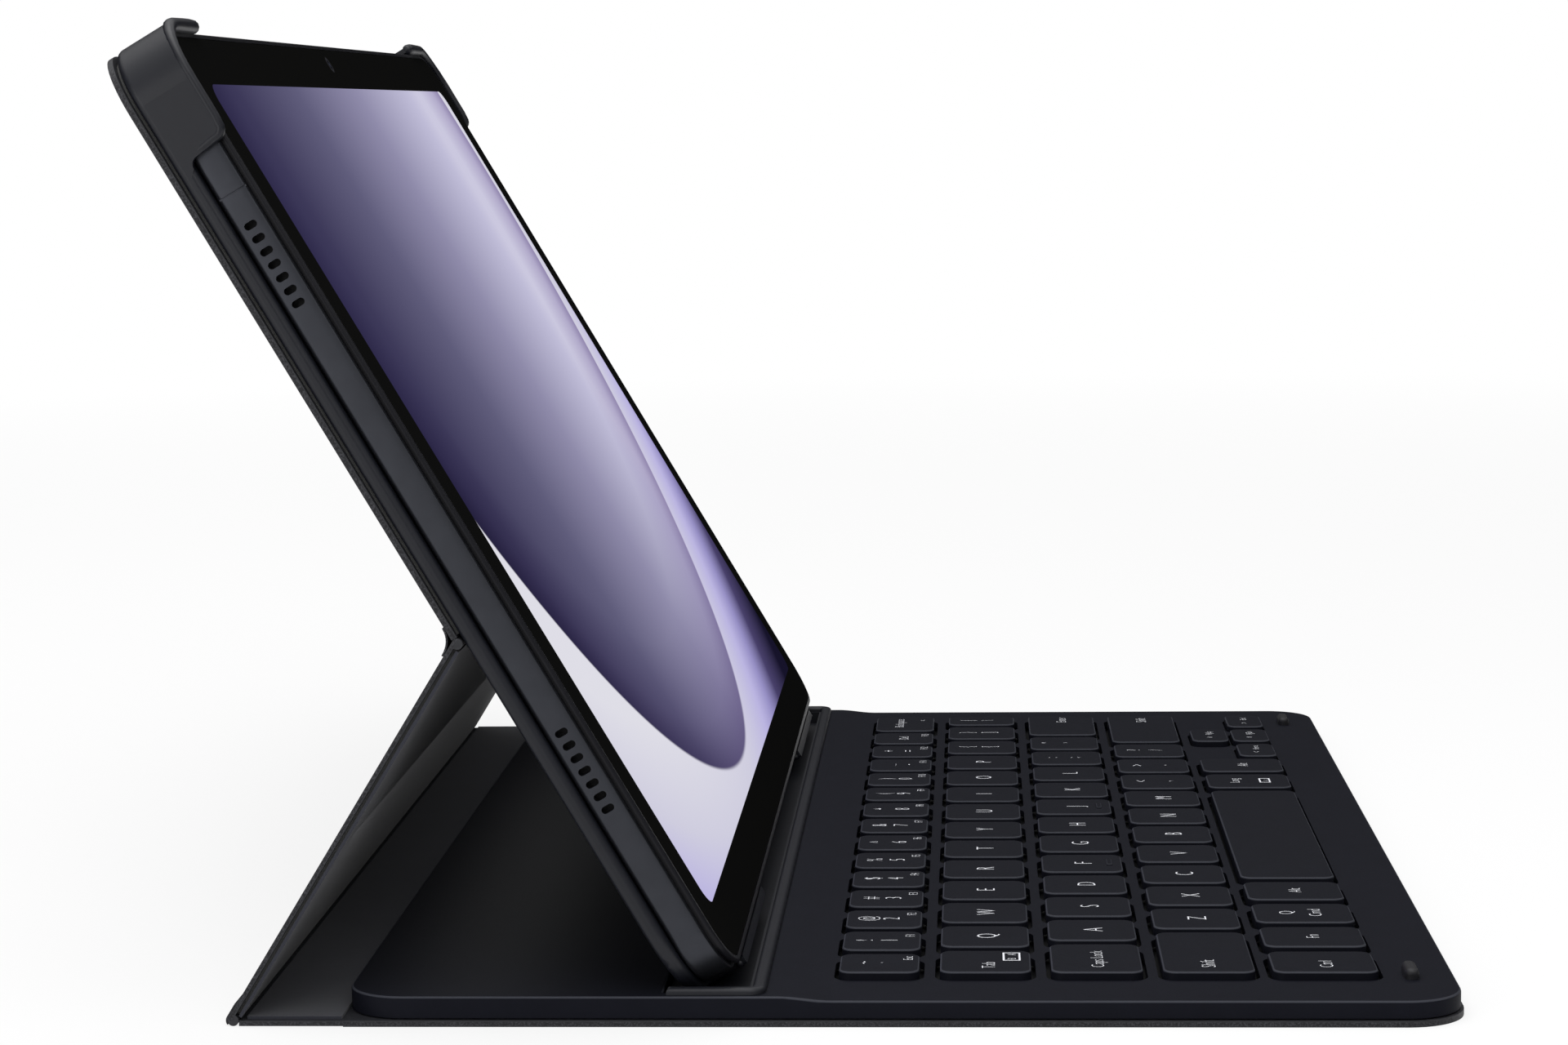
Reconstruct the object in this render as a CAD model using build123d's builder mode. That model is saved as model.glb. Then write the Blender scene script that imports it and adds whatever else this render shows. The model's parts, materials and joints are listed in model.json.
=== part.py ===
from build123d import *
import math
import os

# A keyboard case for an 11-inch tablet, standing open with the tablet in its tray.
# The origin is on the table, under the middle of the keyboard deck.
# +X runs to the user's right, +Y away from the user and +Z up. Sizes are in millimetres.

# ---------------------------------------------------------------- driving sizes
case_width = 259.2          # the keyboard half, the folds and the back panel, side to side
deck_depth = 171.5          # the keyboard half, front edge to the first fold
tilt = 59.7                 # the screen's lean, in degrees up from the table

# keyboard half
cover_skin = 1.0            # faux leather under the keyboard
cover_lip = 0.45            # and beyond the deck's sides and front
deck_gap = 0.25             # dark joint line between the skin and the deck
rear_top = 4.65             # deck height behind the keys
key_top = 4.0               # deck height around the keys
plan_radius = 9.0           # deck corners seen from above
deck_wall = 1.5             # side walls of the deck
deck_skin = 1.2             # top wall of the deck
bottom_plate_thick = 0.4
slope_front = 10.8          # where the deck starts to rise behind the keys
slope_rear = 18.6           # where the rise ends
edge_round = 0.45

# keys
key_margin = 13.2           # case's side to the outer side of the end keys
key_proud = 1.25            # cap above the deck
key_travel = 1.0
key_gap = 0.75              # round each cap
key_radius = 2.0
key_edge = 0.4
key_wall = 0.9
key_skirt = 0.9             # cap below the deck's top face
number_pitch = 15.42
number_cap = 12.8
letter_pitch = 17.12
letter_cap = 14.4
half_key_gap = 1.0          # between the two arrow keys that share a place
key_half_depth = 10.0       # keys less deep than this are the half-depth ones
bumper_size = (6.4, 2.2)    # soft stops that keep the closed screen off the keys
bumper_height = 1.7
bumper_round = 0.85
bumper_place = (16.1, 6.8)  # in from the case's side and front edge

# groove that the tray's foot stands in
groove_front = 22.45
groove_rear = 36.55
groove_margin = 2.4         # case's side to the groove's end
groove_floor = 1.9
liner_thick = 0.3
liner_wall = 0.8
bead_width = 1.75
bead_height = 1.05
bead_lap = 0.4              # bead over the liner's wall
bead_leg_end = 35.95
foot_y = 32.15              # middle of the tray's foot in the groove
foot_clear = 0.33           # under the tray's rounded foot

# folds
spine_width = 17.05         # first fold to second fold
spine_skin = 0.85
spine_lining_thick = 0.45
kick_foot_clear = 1.1       # spine lining, back from the kickstand's foot
fold_radius = 0.85          # half the kickstand's thickness
fold_clear = 0.05           # running clearance round each fold bead
axis_drop = 0.02            # first fold's axis under the skin
fold_height = 66.8          # third fold, from the tray's foot along the tray
kick_skin = 0.7
kick_board_thick = 0.5
board_inset = 1.4

# tray and back panel
tray_floor = 2.7
tray_wall = 1.0
foot_radius = 13.0          # tray's lower corners
foot_round = 1.2            # tray's back edge
rail_round = 0.95           # tray's front edge, beside the tablet
clip_lip = 0.35             # corner walls above the glass
clip_step = 18.4            # corner walls, down from the tray's top
clip_rise = 3.4             # length of their step
step_round = 1.35           # and the curves at its foot and head
step_lean = 0.9
clip_reach = 24.6           # corner walls, in from the tray's sides
foot_clip_in = 15.6         # foot clips' outer ends, in from the case's side
foot_clip_length = 50.0
foot_clip_bulge = 0.5
foot_clip_drop = 0.6        # foot clips below the glass
lining_thick = 0.4
lining_inset = 4.6
back_board_thick = 0.45
back_skin = 0.95
back_clear = 0.12           # kickstand to tray when it lies flat against it

# tablet
tablet_height = 167.4
tablet_thick = 6.45
tablet_radius = 8.6
tablet_clear = 0.3          # to the tray's walls
tablet_rest = 0.15          # to the tray's lining
screen_border = 9.85        # dark border at the sides of the lit area
screen_border_high = 9.65   # and above and below it
metal_front = 1.35          # metal frame's front face under the glass
bezel_seat = 0.75
bezel_inset = 0.25
seat_inset = 0.9
glass_inset = 1.3
glass_thick = 0.7
glass_gap = 0.05
housing_wall = 1.6
housing_back = 0.75
speaker_slot = (2.1, 1.15)  # long way across the tablet's thickness
speaker_pitch = 2.27
speaker_count = 7
speaker_depth = 3.95        # slot middles, down from the glass
speaker_rows_in = (38.7, 38.9)  # middles of the two rows, in from the tablet's top and foot
seam_in = 26.4              # antenna joint, in from the tablet's top
seam_cut = (0.3, 0.2)
camera_inset = 17.0         # rear camera, in from the two tablet sides
camera_hole = 15.0
camera_bump = 11.4
camera_proud = 0.8
button_slot = 2.4
button_proud = 0.35
button_travel = 0.3
button_clear = 0.2

# ---------------------------------------------------------------- worked-out places
half_width = case_width / 2
half_depth = deck_depth / 2
tablet_width = case_width - 2 * (tray_wall + tablet_clear)
screen_width = tablet_width - 2 * screen_border
screen_height = tablet_height - 2 * screen_border_high
key_half_span = half_width - key_margin
groove_half = half_width - groove_margin
deck_floor = cover_skin + deck_gap
plate_top = cover_skin + bottom_plate_thick
angle = math.radians(tilt)
along = Vector(0, math.cos(angle), math.sin(angle))      # up the screen
out = Vector(0, -math.sin(angle), math.cos(angle))       # out of the screen, to the user

tablet_foot = -screen_border_high                        # heights from the screen's lower edge
tablet_head = tablet_foot + tablet_height
tray_foot = tablet_foot - tablet_clear - tray_wall
tray_head = tablet_head + tablet_clear + tray_wall
tray_front = -(tablet_thick + tablet_rest)
tray_back = tray_front - tray_floor
pocket_half = tablet_width / 2 + tablet_clear

# The tray's foot is rounded, so its lowest point is a little above its corner.
round_rise = foot_round * (math.cos(angle) + math.sin(angle) - 1)
foot_z = groove_floor + liner_thick + foot_clear - round_rise
foot = Vector(0, foot_y, foot_z)
screen_origin = foot - along * tray_foot - out * tray_back
screen = Plane(origin=screen_origin, x_dir=(1, 0, 0), z_dir=out)
side = Plane(origin=screen_origin, x_dir=along, z_dir=(1, 0, 0))

# Fold axes, all along X.
fold_1 = Vector(0, half_depth, -axis_drop)
fold_2 = Vector(0, half_depth + spine_width, fold_radius)
fold_3_depth = tray_back - back_clear - fold_radius
fold_3_height = tray_foot + fold_height
fold_3 = screen_origin + along * fold_3_height + out * fold_3_depth
kick_length = (fold_3 - fold_2).length
kick_lean = math.degrees(math.atan2((fold_3 - fold_2).Z, (fold_3 - fold_2).Y))
kick_along = (fold_3 - fold_2).normalized()
kick_side = Plane(origin=fold_2, x_dir=kick_along, z_dir=(1, 0, 0))

os.makedirs("parts", exist_ok=True)


def save(part, name):
    part.label = name
    export_step(part, f"parts/{name}.step")


def at_height(low, high):
    """Middle of a stretch between two heights."""
    return (low + high) / 2


# ---------------------------------------------------------------- key places
# Each row is its rear edge and its depth. Each key is its left side, right side, rear edge and front edge.
rows = {
    "number": (10.0, 12.6),
    "top": (-5.8, 14.3),
    "home": (-23.2, 14.3),
    "bottom": (-40.6, 14.3),
    "control": (-57.6, 16.3),
}


def row_of_keys(row, first_left, pitch, cap, count):
    rear, depth = rows[row]
    return [(first_left + pitch * i, first_left + pitch * i + cap, rear, rear - depth) for i in range(count)]


def one_key(row, left, right):
    rear, depth = rows[row]
    return [(left, right, rear, rear - depth)]


def half_key(row, left, right, low):
    rear, depth = rows[row]
    half = (depth - half_key_gap) / 2
    return [(left, right, rear - depth + half, rear - depth) if low else (left, right, rear, rear - half)]


number_left = 14.7 - key_half_span
top_left = 16.9 - key_half_span
home_left = 21.3 - key_half_span
bottom_left = 29.5 - key_half_span
arrow_cap = 14.0
arrow_pitch = 17.3
arrow_left = key_half_span - arrow_cap - 2 * arrow_pitch
control_pitch = 16.9
control_cap = 13.6
control_gap = 3.25
alt_cap = 13.85
number_gap = number_pitch - number_cap
letter_gap = letter_pitch - letter_cap

key_nodes = {
    "key_esc": one_key("number", -key_half_span, number_left - number_gap),
    "keys_number_row": row_of_keys("number", number_left, number_pitch, number_cap, 13),
    "key_backspace": one_key("number", number_left + 13 * number_pitch, key_half_span),
    "key_tab": one_key("top", -key_half_span, top_left - letter_gap),
    "keys_top_row": row_of_keys("top", top_left, letter_pitch, letter_cap, 12),
    "key_backslash": one_key("top", top_left + 12 * letter_pitch, key_half_span),
    "key_caps_lock": one_key("home", -key_half_span, home_left - letter_gap),
    "keys_home_row": row_of_keys("home", home_left, letter_pitch, letter_cap, 11),
    "key_enter": one_key("home", home_left + 11 * letter_pitch, key_half_span),
    "key_shift_left": one_key("bottom", -key_half_span, bottom_left - letter_gap),
    "keys_bottom_row": row_of_keys("bottom", bottom_left, letter_pitch, letter_cap, 10),
    "key_shift_right": one_key("bottom", bottom_left + 10 * letter_pitch, key_half_span),
    "key_ctrl": one_key("control", -key_half_span, control_cap - key_half_span),
    "key_fn": one_key("control", control_pitch - key_half_span, control_pitch + control_cap - key_half_span),
    "key_command": one_key("control", 2 * control_pitch - key_half_span,
                           2 * control_pitch + control_cap - key_half_span),
    "key_alt_left": one_key("control", 3 * control_pitch - key_half_span,
                            3 * control_pitch + control_cap - key_half_span),
    "key_space": one_key("control", 4 * control_pitch - key_half_span,
                         arrow_left - 3 * control_gap - 2 * alt_cap),
    "key_language": one_key("control", arrow_left - 2 * control_gap - 2 * alt_cap,
                            arrow_left - 2 * control_gap - alt_cap),
    "key_alt_right": one_key("control", arrow_left - control_gap - alt_cap, arrow_left - control_gap),
    "key_arrow_left": half_key("control", arrow_left, arrow_left + arrow_cap, True),
    "key_arrow_up": half_key("control", arrow_left + arrow_pitch,
                             arrow_left + arrow_pitch + arrow_cap, False),
    "key_arrow_down": half_key("control", arrow_left + arrow_pitch,
                               arrow_left + arrow_pitch + arrow_cap, True),
    "key_arrow_right": half_key("control", key_half_span - arrow_cap, key_half_span, True),
}
all_keys = [key for keys in key_nodes.values() for key in keys]


def key_middle(key):
    left, right, rear, front = key
    return ((left + right) / 2, (rear + front) / 2)


def key_hole_gap(key):
    """Gap in front of and behind a cap. The half-depth keys leave a web of deck between them."""
    return key_gap if key[2] - key[3] > key_half_depth else half_key_gap * 0.4


# ---------------------------------------------------------------- keyboard half
# Space under the keys, and the smaller space behind the groove.
bay_margin = 2.6
bay_half = key_half_span + bay_margin
bay_front = rows["control"][0] - rows["control"][1] - bay_margin
bay_rear = slope_rear + 0.6
bay_top = key_top - deck_skin
rear_bay_front = groove_rear + 4.0
rear_bay_rear = half_depth - 6.0
rear_bay_half = half_width - 19.6
rear_bay_top = rear_top - deck_skin
support_thick = 0.3
membrane_thick = 0.2
membrane_top = plate_top + support_thick + membrane_thick


def plan(half, low, high, low_radius, high_radius):
    """A plate's outline: half its width, its lower and upper edge, and its corner radii."""
    with BuildSketch() as outline:
        with Locations((0, at_height(low, high))):
            Rectangle(2 * half, high - low)
        if low_radius > 0:
            fillet(outline.vertices().group_by(Axis.Y)[0], low_radius)
        if high_radius > 0:
            fillet(outline.vertices().group_by(Axis.Y)[-1], high_radius)
    return outline.sketch


def channel(half, front, end, width, corner):
    """A U-shaped outline, open to the rear, with rounded front corners."""
    with BuildSketch() as outline:
        add(plan(half, front, end, corner, 0))
        add(plan(half - width, front + width, end + width, max(corner - width, 0.3), 0), mode=Mode.SUBTRACT)
    return outline.sketch


with BuildPart() as base_cover:
    with BuildSketch():
        add(plan(half_width + cover_lip, -half_depth - cover_lip, half_depth - fold_clear,
                 plan_radius + cover_lip, 0))
    extrude(amount=cover_skin)
save(base_cover.part, "base_cover")

plate_inset = deck_wall + 0.2
with BuildPart() as bottom_plate:
    with BuildSketch(Plane.XY.offset(cover_skin)):
        RectangleRounded(case_width - 2 * plate_inset, deck_depth - 2 * plate_inset,
                         plan_radius - plate_inset)
    extrude(amount=bottom_plate_thick)
save(bottom_plate.part, "bottom_plate")

# Flexible lead from the controller to the key membrane, in a shallow channel under the groove.
lead_x = 55.0
lead_width = 14.0
lead_thick = 0.15
lead_front = 12.95
lead_rear = rear_bay_front + 5.8
lead_channel = 0.35
board_thick = 0.8
chip_height = 0.9

with BuildPart() as deck_case:
    with BuildSketch(Plane.XY.offset(deck_floor)):
        RectangleRounded(case_width, deck_depth, plan_radius)
    extrude(amount=rear_top - deck_floor)
    # The deck steps down in a soft S in front of the groove.
    with BuildSketch(Plane.YZ):
        with BuildLine():
            step = Spline((slope_front, key_top), (slope_rear, rear_top), tangents=((1, 0), (1, 0.02)))
            Polyline(step @ 1, (slope_rear, rear_top + 1), (-half_depth - 1, rear_top + 1),
                     (-half_depth - 1, key_top), step @ 0)
        make_face()
    extrude(amount=half_width + 1, both=True, mode=Mode.SUBTRACT)
    # Bays for the keys and the electronics, open underneath.
    with BuildSketch(Plane.XY.offset(deck_floor)):
        add(plan(half_width - deck_wall, -half_depth + deck_wall, half_depth - deck_wall,
                 plan_radius - deck_wall, plan_radius - deck_wall))
    extrude(amount=plate_top - deck_floor, mode=Mode.SUBTRACT)
    with BuildSketch(Plane.XY.offset(plate_top)):
        add(plan(bay_half, bay_front, bay_rear, key_radius, key_radius))
    extrude(amount=bay_top - plate_top, mode=Mode.SUBTRACT)
    with BuildSketch(Plane.XY.offset(plate_top)):
        add(plan(rear_bay_half, rear_bay_front, rear_bay_rear, key_radius, key_radius))
    extrude(amount=rear_bay_top - plate_top, mode=Mode.SUBTRACT)
    with BuildSketch(Plane.XY.offset(plate_top)):
        with Locations((lead_x, at_height(bay_rear, rear_bay_front))):
            Rectangle(lead_width + 1, rear_bay_front - bay_rear + 1)
    extrude(amount=lead_channel, mode=Mode.SUBTRACT)
    # Groove for the tray's foot.
    with BuildSketch(Plane.XY.offset(groove_floor)):
        add(plan(groove_half, groove_front, groove_rear, liner_wall, liner_wall))
    extrude(amount=rear_top, mode=Mode.SUBTRACT)
    # One hole round each cap.
    with BuildSketch(Plane.XY.offset(key_top)):
        for key in all_keys:
            with Locations(key_middle(key)):
                RectangleRounded(key[1] - key[0] + 2 * key_gap, key[2] - key[3] + 2 * key_hole_gap(key),
                                 key_radius + key_gap)
    extrude(amount=bay_top - key_top, mode=Mode.SUBTRACT)
    rim = deck_case.faces().filter_by(lambda f: f.normal_at().Z > 0.9 and f.center().Z > key_top - 0.1)
    outline_edges = rim.edges().filter_by(
        lambda e: abs(e.center().X) > half_width - 4 or abs(e.center().Y) > half_depth - 4)
    fillet(outline_edges, edge_round)
save(deck_case.part, "deck_case")

with BuildPart() as groove_liner:
    fit = 0.1
    with BuildSketch(Plane.XY.offset(groove_floor)):
        add(plan(groove_half - fit, groove_front + fit, groove_rear - fit, liner_wall, liner_wall))
    extrude(amount=liner_thick)
    with BuildSketch(Plane.XY.offset(groove_floor)):
        add(channel(groove_half - fit, groove_front + fit, bead_leg_end, liner_wall, liner_wall))
    extrude(amount=rear_top - groove_floor)
    with BuildSketch(Plane.XY.offset(rear_top)):
        add(channel(groove_half + bead_width, groove_front - bead_width, bead_leg_end,
                    bead_width + bead_lap, 2.6))
    extrude(amount=bead_height)
    bead_top = groove_liner.faces().sort_by(Axis.Z)[-1]
    fillet(bead_top.edges(), bead_width * 0.42)
save(groove_liner.part, "groove_liner")

magnet_row = at_height(lead_front, bay_rear)
with BuildPart() as groove_magnets:
    with BuildSketch(Plane.XY.offset(plate_top)):
        with Locations(*[(x, magnet_row) for x in (-92, -18, 18, 92)]):
            Rectangle(34, 4.6)
    extrude(amount=bay_top - plate_top - 0.1)
save(groove_magnets.part, "groove_magnets")

with BuildPart() as key_plate:
    with BuildSketch(Plane.XY.offset(plate_top)):
        add(plan(bay_half - 0.3, bay_front + 0.3, lead_front - 0.3, key_radius, key_radius))
    extrude(amount=support_thick)
save(key_plate.part, "key_plate")

with BuildPart() as key_membrane:
    with BuildSketch(Plane.XY.offset(plate_top + support_thick)):
        add(plan(bay_half - 0.8, bay_front + 0.8, lead_front - 0.8, key_radius, key_radius))
    extrude(amount=membrane_thick)
save(key_membrane.part, "key_membrane")

# The domes are drawn as low as a pressed cap leaves them.
cap_low = key_top - key_skirt
cap_high = key_top + key_proud
cap_ceiling = cap_high - key_travel - 0.1
dome_height = cap_ceiling - key_travel - 0.15 - membrane_top
with BuildPart() as rubber_domes:
    with Locations(*[key_middle(key) + (membrane_top,) for key in all_keys]):
        Cone(2.3, 1.4, dome_height, align=(Align.CENTER, Align.CENTER, Align.MIN))
save(rubber_domes.part, "rubber_domes")

with BuildPart() as controller_board:
    with BuildSketch(Plane.XY.offset(plate_top)):
        with Locations((lead_x, lead_rear + 12.2)):
            Rectangle(64, 24)
    extrude(amount=board_thick)
    with BuildSketch(Plane.XY.offset(plate_top + board_thick)):
        with Locations((lead_x - 14, lead_rear + 13)):
            Rectangle(9, 9)
        with Locations((lead_x + 10, lead_rear + 10)):
            Rectangle(12, 6)
    extrude(amount=chip_height)
save(controller_board.part, "controller_board")

with BuildPart() as keyboard_lead:
    with BuildSketch(Plane.XY.offset(plate_top)):
        with Locations((lead_x, at_height(lead_front, lead_rear))):
            Rectangle(lead_width, lead_rear - lead_front - 0.2)
    extrude(amount=lead_thick)
save(keyboard_lead.part, "keyboard_lead")

with BuildPart() as front_bumpers:
    with BuildSketch(Plane.XY.offset(key_top)):
        for x in (bumper_place[0] - half_width, half_width - bumper_place[0]):
            with Locations((x, bumper_place[1] - half_depth)):
                RectangleRounded(*bumper_size, bumper_size[1] * 0.45)
    extrude(amount=bumper_height)
    fillet(front_bumpers.faces().group_by(Axis.Z)[-1].edges(), bumper_round)
save(front_bumpers.part, "front_bumpers")


# ---------------------------------------------------------------- key caps
def build_caps(keys):
    with BuildPart() as caps:
        with BuildSketch(Plane.XY.offset(cap_low)):
            for key in keys:
                with Locations(key_middle(key)):
                    RectangleRounded(key[1] - key[0], key[2] - key[3], key_radius)
        extrude(amount=cap_high - cap_low)
        fillet(caps.faces().group_by(Axis.Z)[-1].edges(), key_edge)
        with BuildSketch(Plane.XY.offset(cap_low)):
            for key in keys:
                with Locations(key_middle(key)):
                    RectangleRounded(key[1] - key[0] - 2 * key_wall, key[2] - key[3] - 2 * key_wall,
                                     key_radius - key_wall)
        extrude(amount=cap_ceiling - cap_low, mode=Mode.SUBTRACT)
    return caps.part


for node, keys in key_nodes.items():
    save(build_caps(keys), node)

# ---------------------------------------------------------------- spine
spine_start = half_depth + fold_clear
spine_end = fold_2.Y - fold_radius - fold_clear
with BuildPart() as spine_cover:
    with BuildSketch():
        add(plan(half_width, spine_start, spine_end, 0, 0))
    extrude(amount=spine_skin)
save(spine_cover.part, "spine_cover")

with BuildPart() as spine_lining:
    with BuildSketch(Plane.XY.offset(spine_skin)):
        add(plan(half_width - 1, spine_start + 0.3, spine_end - kick_foot_clear, 0, 0))
    extrude(amount=spine_lining_thick)
save(spine_lining.part, "spine_lining")

# ---------------------------------------------------------------- kickstand
# Its own frame runs from the second fold to the third, with +Y on the tablet's side.
board_start = fold_radius + 0.15
skin_inner = kick_skin - fold_radius
board_inner = skin_inner + kick_board_thick
with BuildPart() as kickstand_cover:
    with BuildSketch(kick_side):
        with Locations((kick_length / 2, at_height(-fold_radius, skin_inner))):
            Rectangle(kick_length, kick_skin)
        with Locations((0, 0), (kick_length, 0)):
            Circle(fold_radius)
    extrude(amount=half_width, both=True)
save(kickstand_cover.part, "kickstand_cover")

with BuildPart() as kickstand_board:
    with BuildSketch(kick_side):
        with Locations((kick_length / 2, at_height(skin_inner, board_inner))):
            Rectangle(kick_length - 2 * board_start, kick_board_thick)
    extrude(amount=half_width - board_inset, both=True)
save(kickstand_board.part, "kickstand_board")

with BuildPart() as kickstand_lining:
    with BuildSketch(kick_side):
        with Locations((kick_length / 2, at_height(board_inner, fold_radius))):
            Rectangle(kick_length - 2 * board_start, fold_radius - board_inner)
    extrude(amount=half_width - 0.2, both=True)
save(kickstand_lining.part, "kickstand_lining")

# ---------------------------------------------------------------- tray and back panel
tray_radius = tablet_radius + tablet_clear + tray_wall
camera_x = tablet_width / 2 - camera_inset
camera_height = tablet_head - camera_inset
step_high = tray_head - clip_step
step_low = step_high - clip_rise
step_foot = step_low + (clip_rise - step_lean) / 2
wall_root = tray_front - rail_round     # the walls start inside the rail

with BuildPart() as corner_walls:
    with BuildSketch(screen.offset(wall_root)):
        add(plan(half_width, tray_foot, tray_head, foot_radius, tray_radius))
        add(plan(pocket_half, tablet_foot - tablet_clear, tablet_head + tablet_clear,
                 tablet_radius + tablet_clear, tablet_radius + tablet_clear), mode=Mode.SUBTRACT)
    extrude(amount=clip_lip - wall_root)
    # The walls rise from the tray in a rounded step and wrap the two upper corners.
    with BuildSketch(side):
        with BuildLine():
            rise = FilletPolyline((step_low, tray_front), (step_foot, tray_front), (step_foot + step_lean, clip_lip),
                                  (tray_head + 1, clip_lip), radius=step_round)
            Polyline(rise @ 1, (tray_head + 1, wall_root), (step_low - rail_round, wall_root), rise @ 0)
        make_face()
    extrude(amount=half_width + 1, both=True, mode=Mode.INTERSECT)
    with BuildSketch(screen.offset(wall_root)):
        with Locations((0, tray_head)):
            Rectangle(2 * (half_width - clip_reach), clip_step)
    extrude(amount=clip_lip - wall_root, mode=Mode.SUBTRACT)

magnet_size = (36, 6, 1.0)
magnet_places = [(x, height) for x in (-88, 0, 88) for height in (28, 108)]
lining_floor = tray_front - lining_thick


def lining_plan(clear):
    inset = lining_inset + clear
    return plan(half_width - inset, tray_foot + inset, tray_head - inset,
                tray_radius - inset, tray_radius - inset)


with BuildPart() as tray_shell:
    with BuildSketch(screen.offset(tray_back)):
        add(plan(half_width, tray_foot, tray_head, foot_radius, tray_radius))
    extrude(amount=tray_floor)
    fillet(tray_shell.faces().sort_by(Axis(screen_origin, out))[0].edges(), foot_round)
    fillet(tray_shell.faces().sort_by(Axis(screen_origin, out))[-1].edges(), rail_round)
    add(corner_walls.part)
    # Two low clips hold the tablet's foot.
    foot_clip_middle = half_width - foot_clip_in - foot_clip_length / 2
    foot_clip_low = tray_foot - foot_clip_bulge
    foot_clip_high = tablet_foot - tablet_clear
    with BuildSketch(screen.offset(wall_root)):
        for x in (-foot_clip_middle, foot_clip_middle):
            with Locations((x, at_height(foot_clip_low, foot_clip_high))):
                RectangleRounded(foot_clip_length, foot_clip_high - foot_clip_low, foot_clip_bulge)
    extrude(amount=-foot_clip_drop - wall_root)
    with BuildSketch(screen.offset(tray_front)):
        add(lining_plan(0))
    extrude(amount=-lining_thick, mode=Mode.SUBTRACT)
    with BuildSketch(screen.offset(lining_floor)):
        with Locations(*magnet_places):
            Rectangle(magnet_size[0], magnet_size[1])
    extrude(amount=-magnet_size[2], mode=Mode.SUBTRACT)
    with BuildSketch(screen.offset(tray_back)):
        with Locations((camera_x, camera_height)):
            Circle(camera_hole / 2)
    extrude(amount=tray_floor, mode=Mode.SUBTRACT)
save(tray_shell.part, "tray_shell")

with BuildPart() as tray_lining:
    with BuildSketch(screen.offset(lining_floor)):
        add(lining_plan(0.1))
        with Locations((camera_x, camera_height)):
            Circle(camera_hole / 2 + 0.4, mode=Mode.SUBTRACT)
    extrude(amount=lining_thick)
save(tray_lining.part, "tray_lining")

with BuildPart() as tray_magnets:
    with BuildSketch(screen.offset(lining_floor)):
        with Locations(*magnet_places):
            Rectangle(magnet_size[0] - 0.2, magnet_size[1] - 0.2)
    extrude(amount=-magnet_size[2])
save(tray_magnets.part, "tray_magnets")

contact_half = 16.0
contact_height = 3.4
with BuildPart() as contact_strip:
    with BuildSketch(screen.offset(tray_front)):
        add(plan(contact_half, tray_foot + 0.2, tablet_foot - tablet_clear, 0, 0))
    extrude(amount=contact_height)
save(contact_strip.part, "contact_strip")

board_back = tray_back - back_board_thick
cover_back = board_back - back_skin
panel_foot = fold_3_height + fold_radius + fold_clear
with BuildPart() as back_board:
    with BuildSketch(screen.offset(board_back)):
        add(plan(half_width - board_inset, panel_foot + 0.3, tray_head - board_inset,
                 0, tray_radius - board_inset))
        with Locations((camera_x, camera_height)):
            Circle(camera_hole / 2, mode=Mode.SUBTRACT)
    extrude(amount=back_board_thick)
save(back_board.part, "back_board")

with BuildPart() as back_cover:
    with BuildSketch(screen.offset(cover_back)):
        add(plan(half_width, panel_foot, tray_head - 0.2, 0, tray_radius))
        with Locations((camera_x, camera_height)):
            Circle(camera_hole / 2, mode=Mode.SUBTRACT)
    extrude(amount=back_skin)
save(back_cover.part, "back_cover")

ring_wall = 1.3
with BuildPart() as camera_ring:
    with BuildSketch(screen.offset(cover_back - 0.2)):
        with Locations((camera_x, camera_height)):
            Circle(camera_hole / 2 - 0.05)
            Circle(camera_hole / 2 - ring_wall, mode=Mode.SUBTRACT)
    extrude(amount=tray_back - cover_back + 0.2)
save(camera_ring.part, "camera_ring")


# ---------------------------------------------------------------- tablet
def tablet_plan(inset):
    radius = tablet_radius - inset
    return plan(tablet_width / 2 - inset, tablet_foot + inset, tablet_head - inset, radius, radius)


tablet_half = tablet_width / 2
speaker_rows = (tablet_head - speaker_rows_in[0], tablet_foot + speaker_rows_in[1])
speaker_span = (speaker_count - 1) * speaker_pitch
slot_places = [
    (row - speaker_span / 2 + speaker_pitch * i, -speaker_depth)
    for row in speaker_rows for i in range(speaker_count)]
top_edge = Plane(origin=screen_origin + along * tablet_head, x_dir=(1, 0, 0), z_dir=along)
button_depth = 3.9
buttons = {"volume_rocker": (40.3 - tablet_half, 20.0), "power_button": (63.3 - tablet_half, 11.0)}
button_inside = 0.85

with BuildPart() as tablet_housing:
    with BuildSketch(screen.offset(-tablet_thick)):
        add(tablet_plan(0))
    extrude(amount=tablet_thick - metal_front)
    fillet(tablet_housing.faces().sort_by(Axis(screen_origin, out))[0].edges(), 0.9)
    chamfer(tablet_housing.faces().sort_by(Axis(screen_origin, out))[-1].edges(), 0.2)
    with BuildSketch(screen.offset(-metal_front)):
        add(tablet_plan(housing_wall))
    extrude(amount=-(tablet_thick - metal_front - housing_back), mode=Mode.SUBTRACT)
    for face_x, inward in ((-tablet_half, 1), (tablet_half, -1)):
        with BuildSketch(side.offset(face_x)):
            with Locations(*slot_places):
                SlotOverall(speaker_slot[0], speaker_slot[1], rotation=90)
        extrude(amount=inward * housing_wall, mode=Mode.SUBTRACT)
        with BuildSketch(side.offset(face_x)):
            with Locations((tablet_head - seam_in, -tablet_thick / 2)):
                Rectangle(seam_cut[0], tablet_thick)
        extrude(amount=inward * seam_cut[1], mode=Mode.SUBTRACT)
    with BuildSketch(top_edge):
        for x, length in buttons.values():
            with Locations((x, button_depth)):
                SlotOverall(length + 2 * button_clear, button_slot + 2 * button_clear)
    extrude(amount=-(button_inside + button_travel + 0.15), mode=Mode.SUBTRACT)
save(tablet_housing.part, "tablet_housing")

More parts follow.
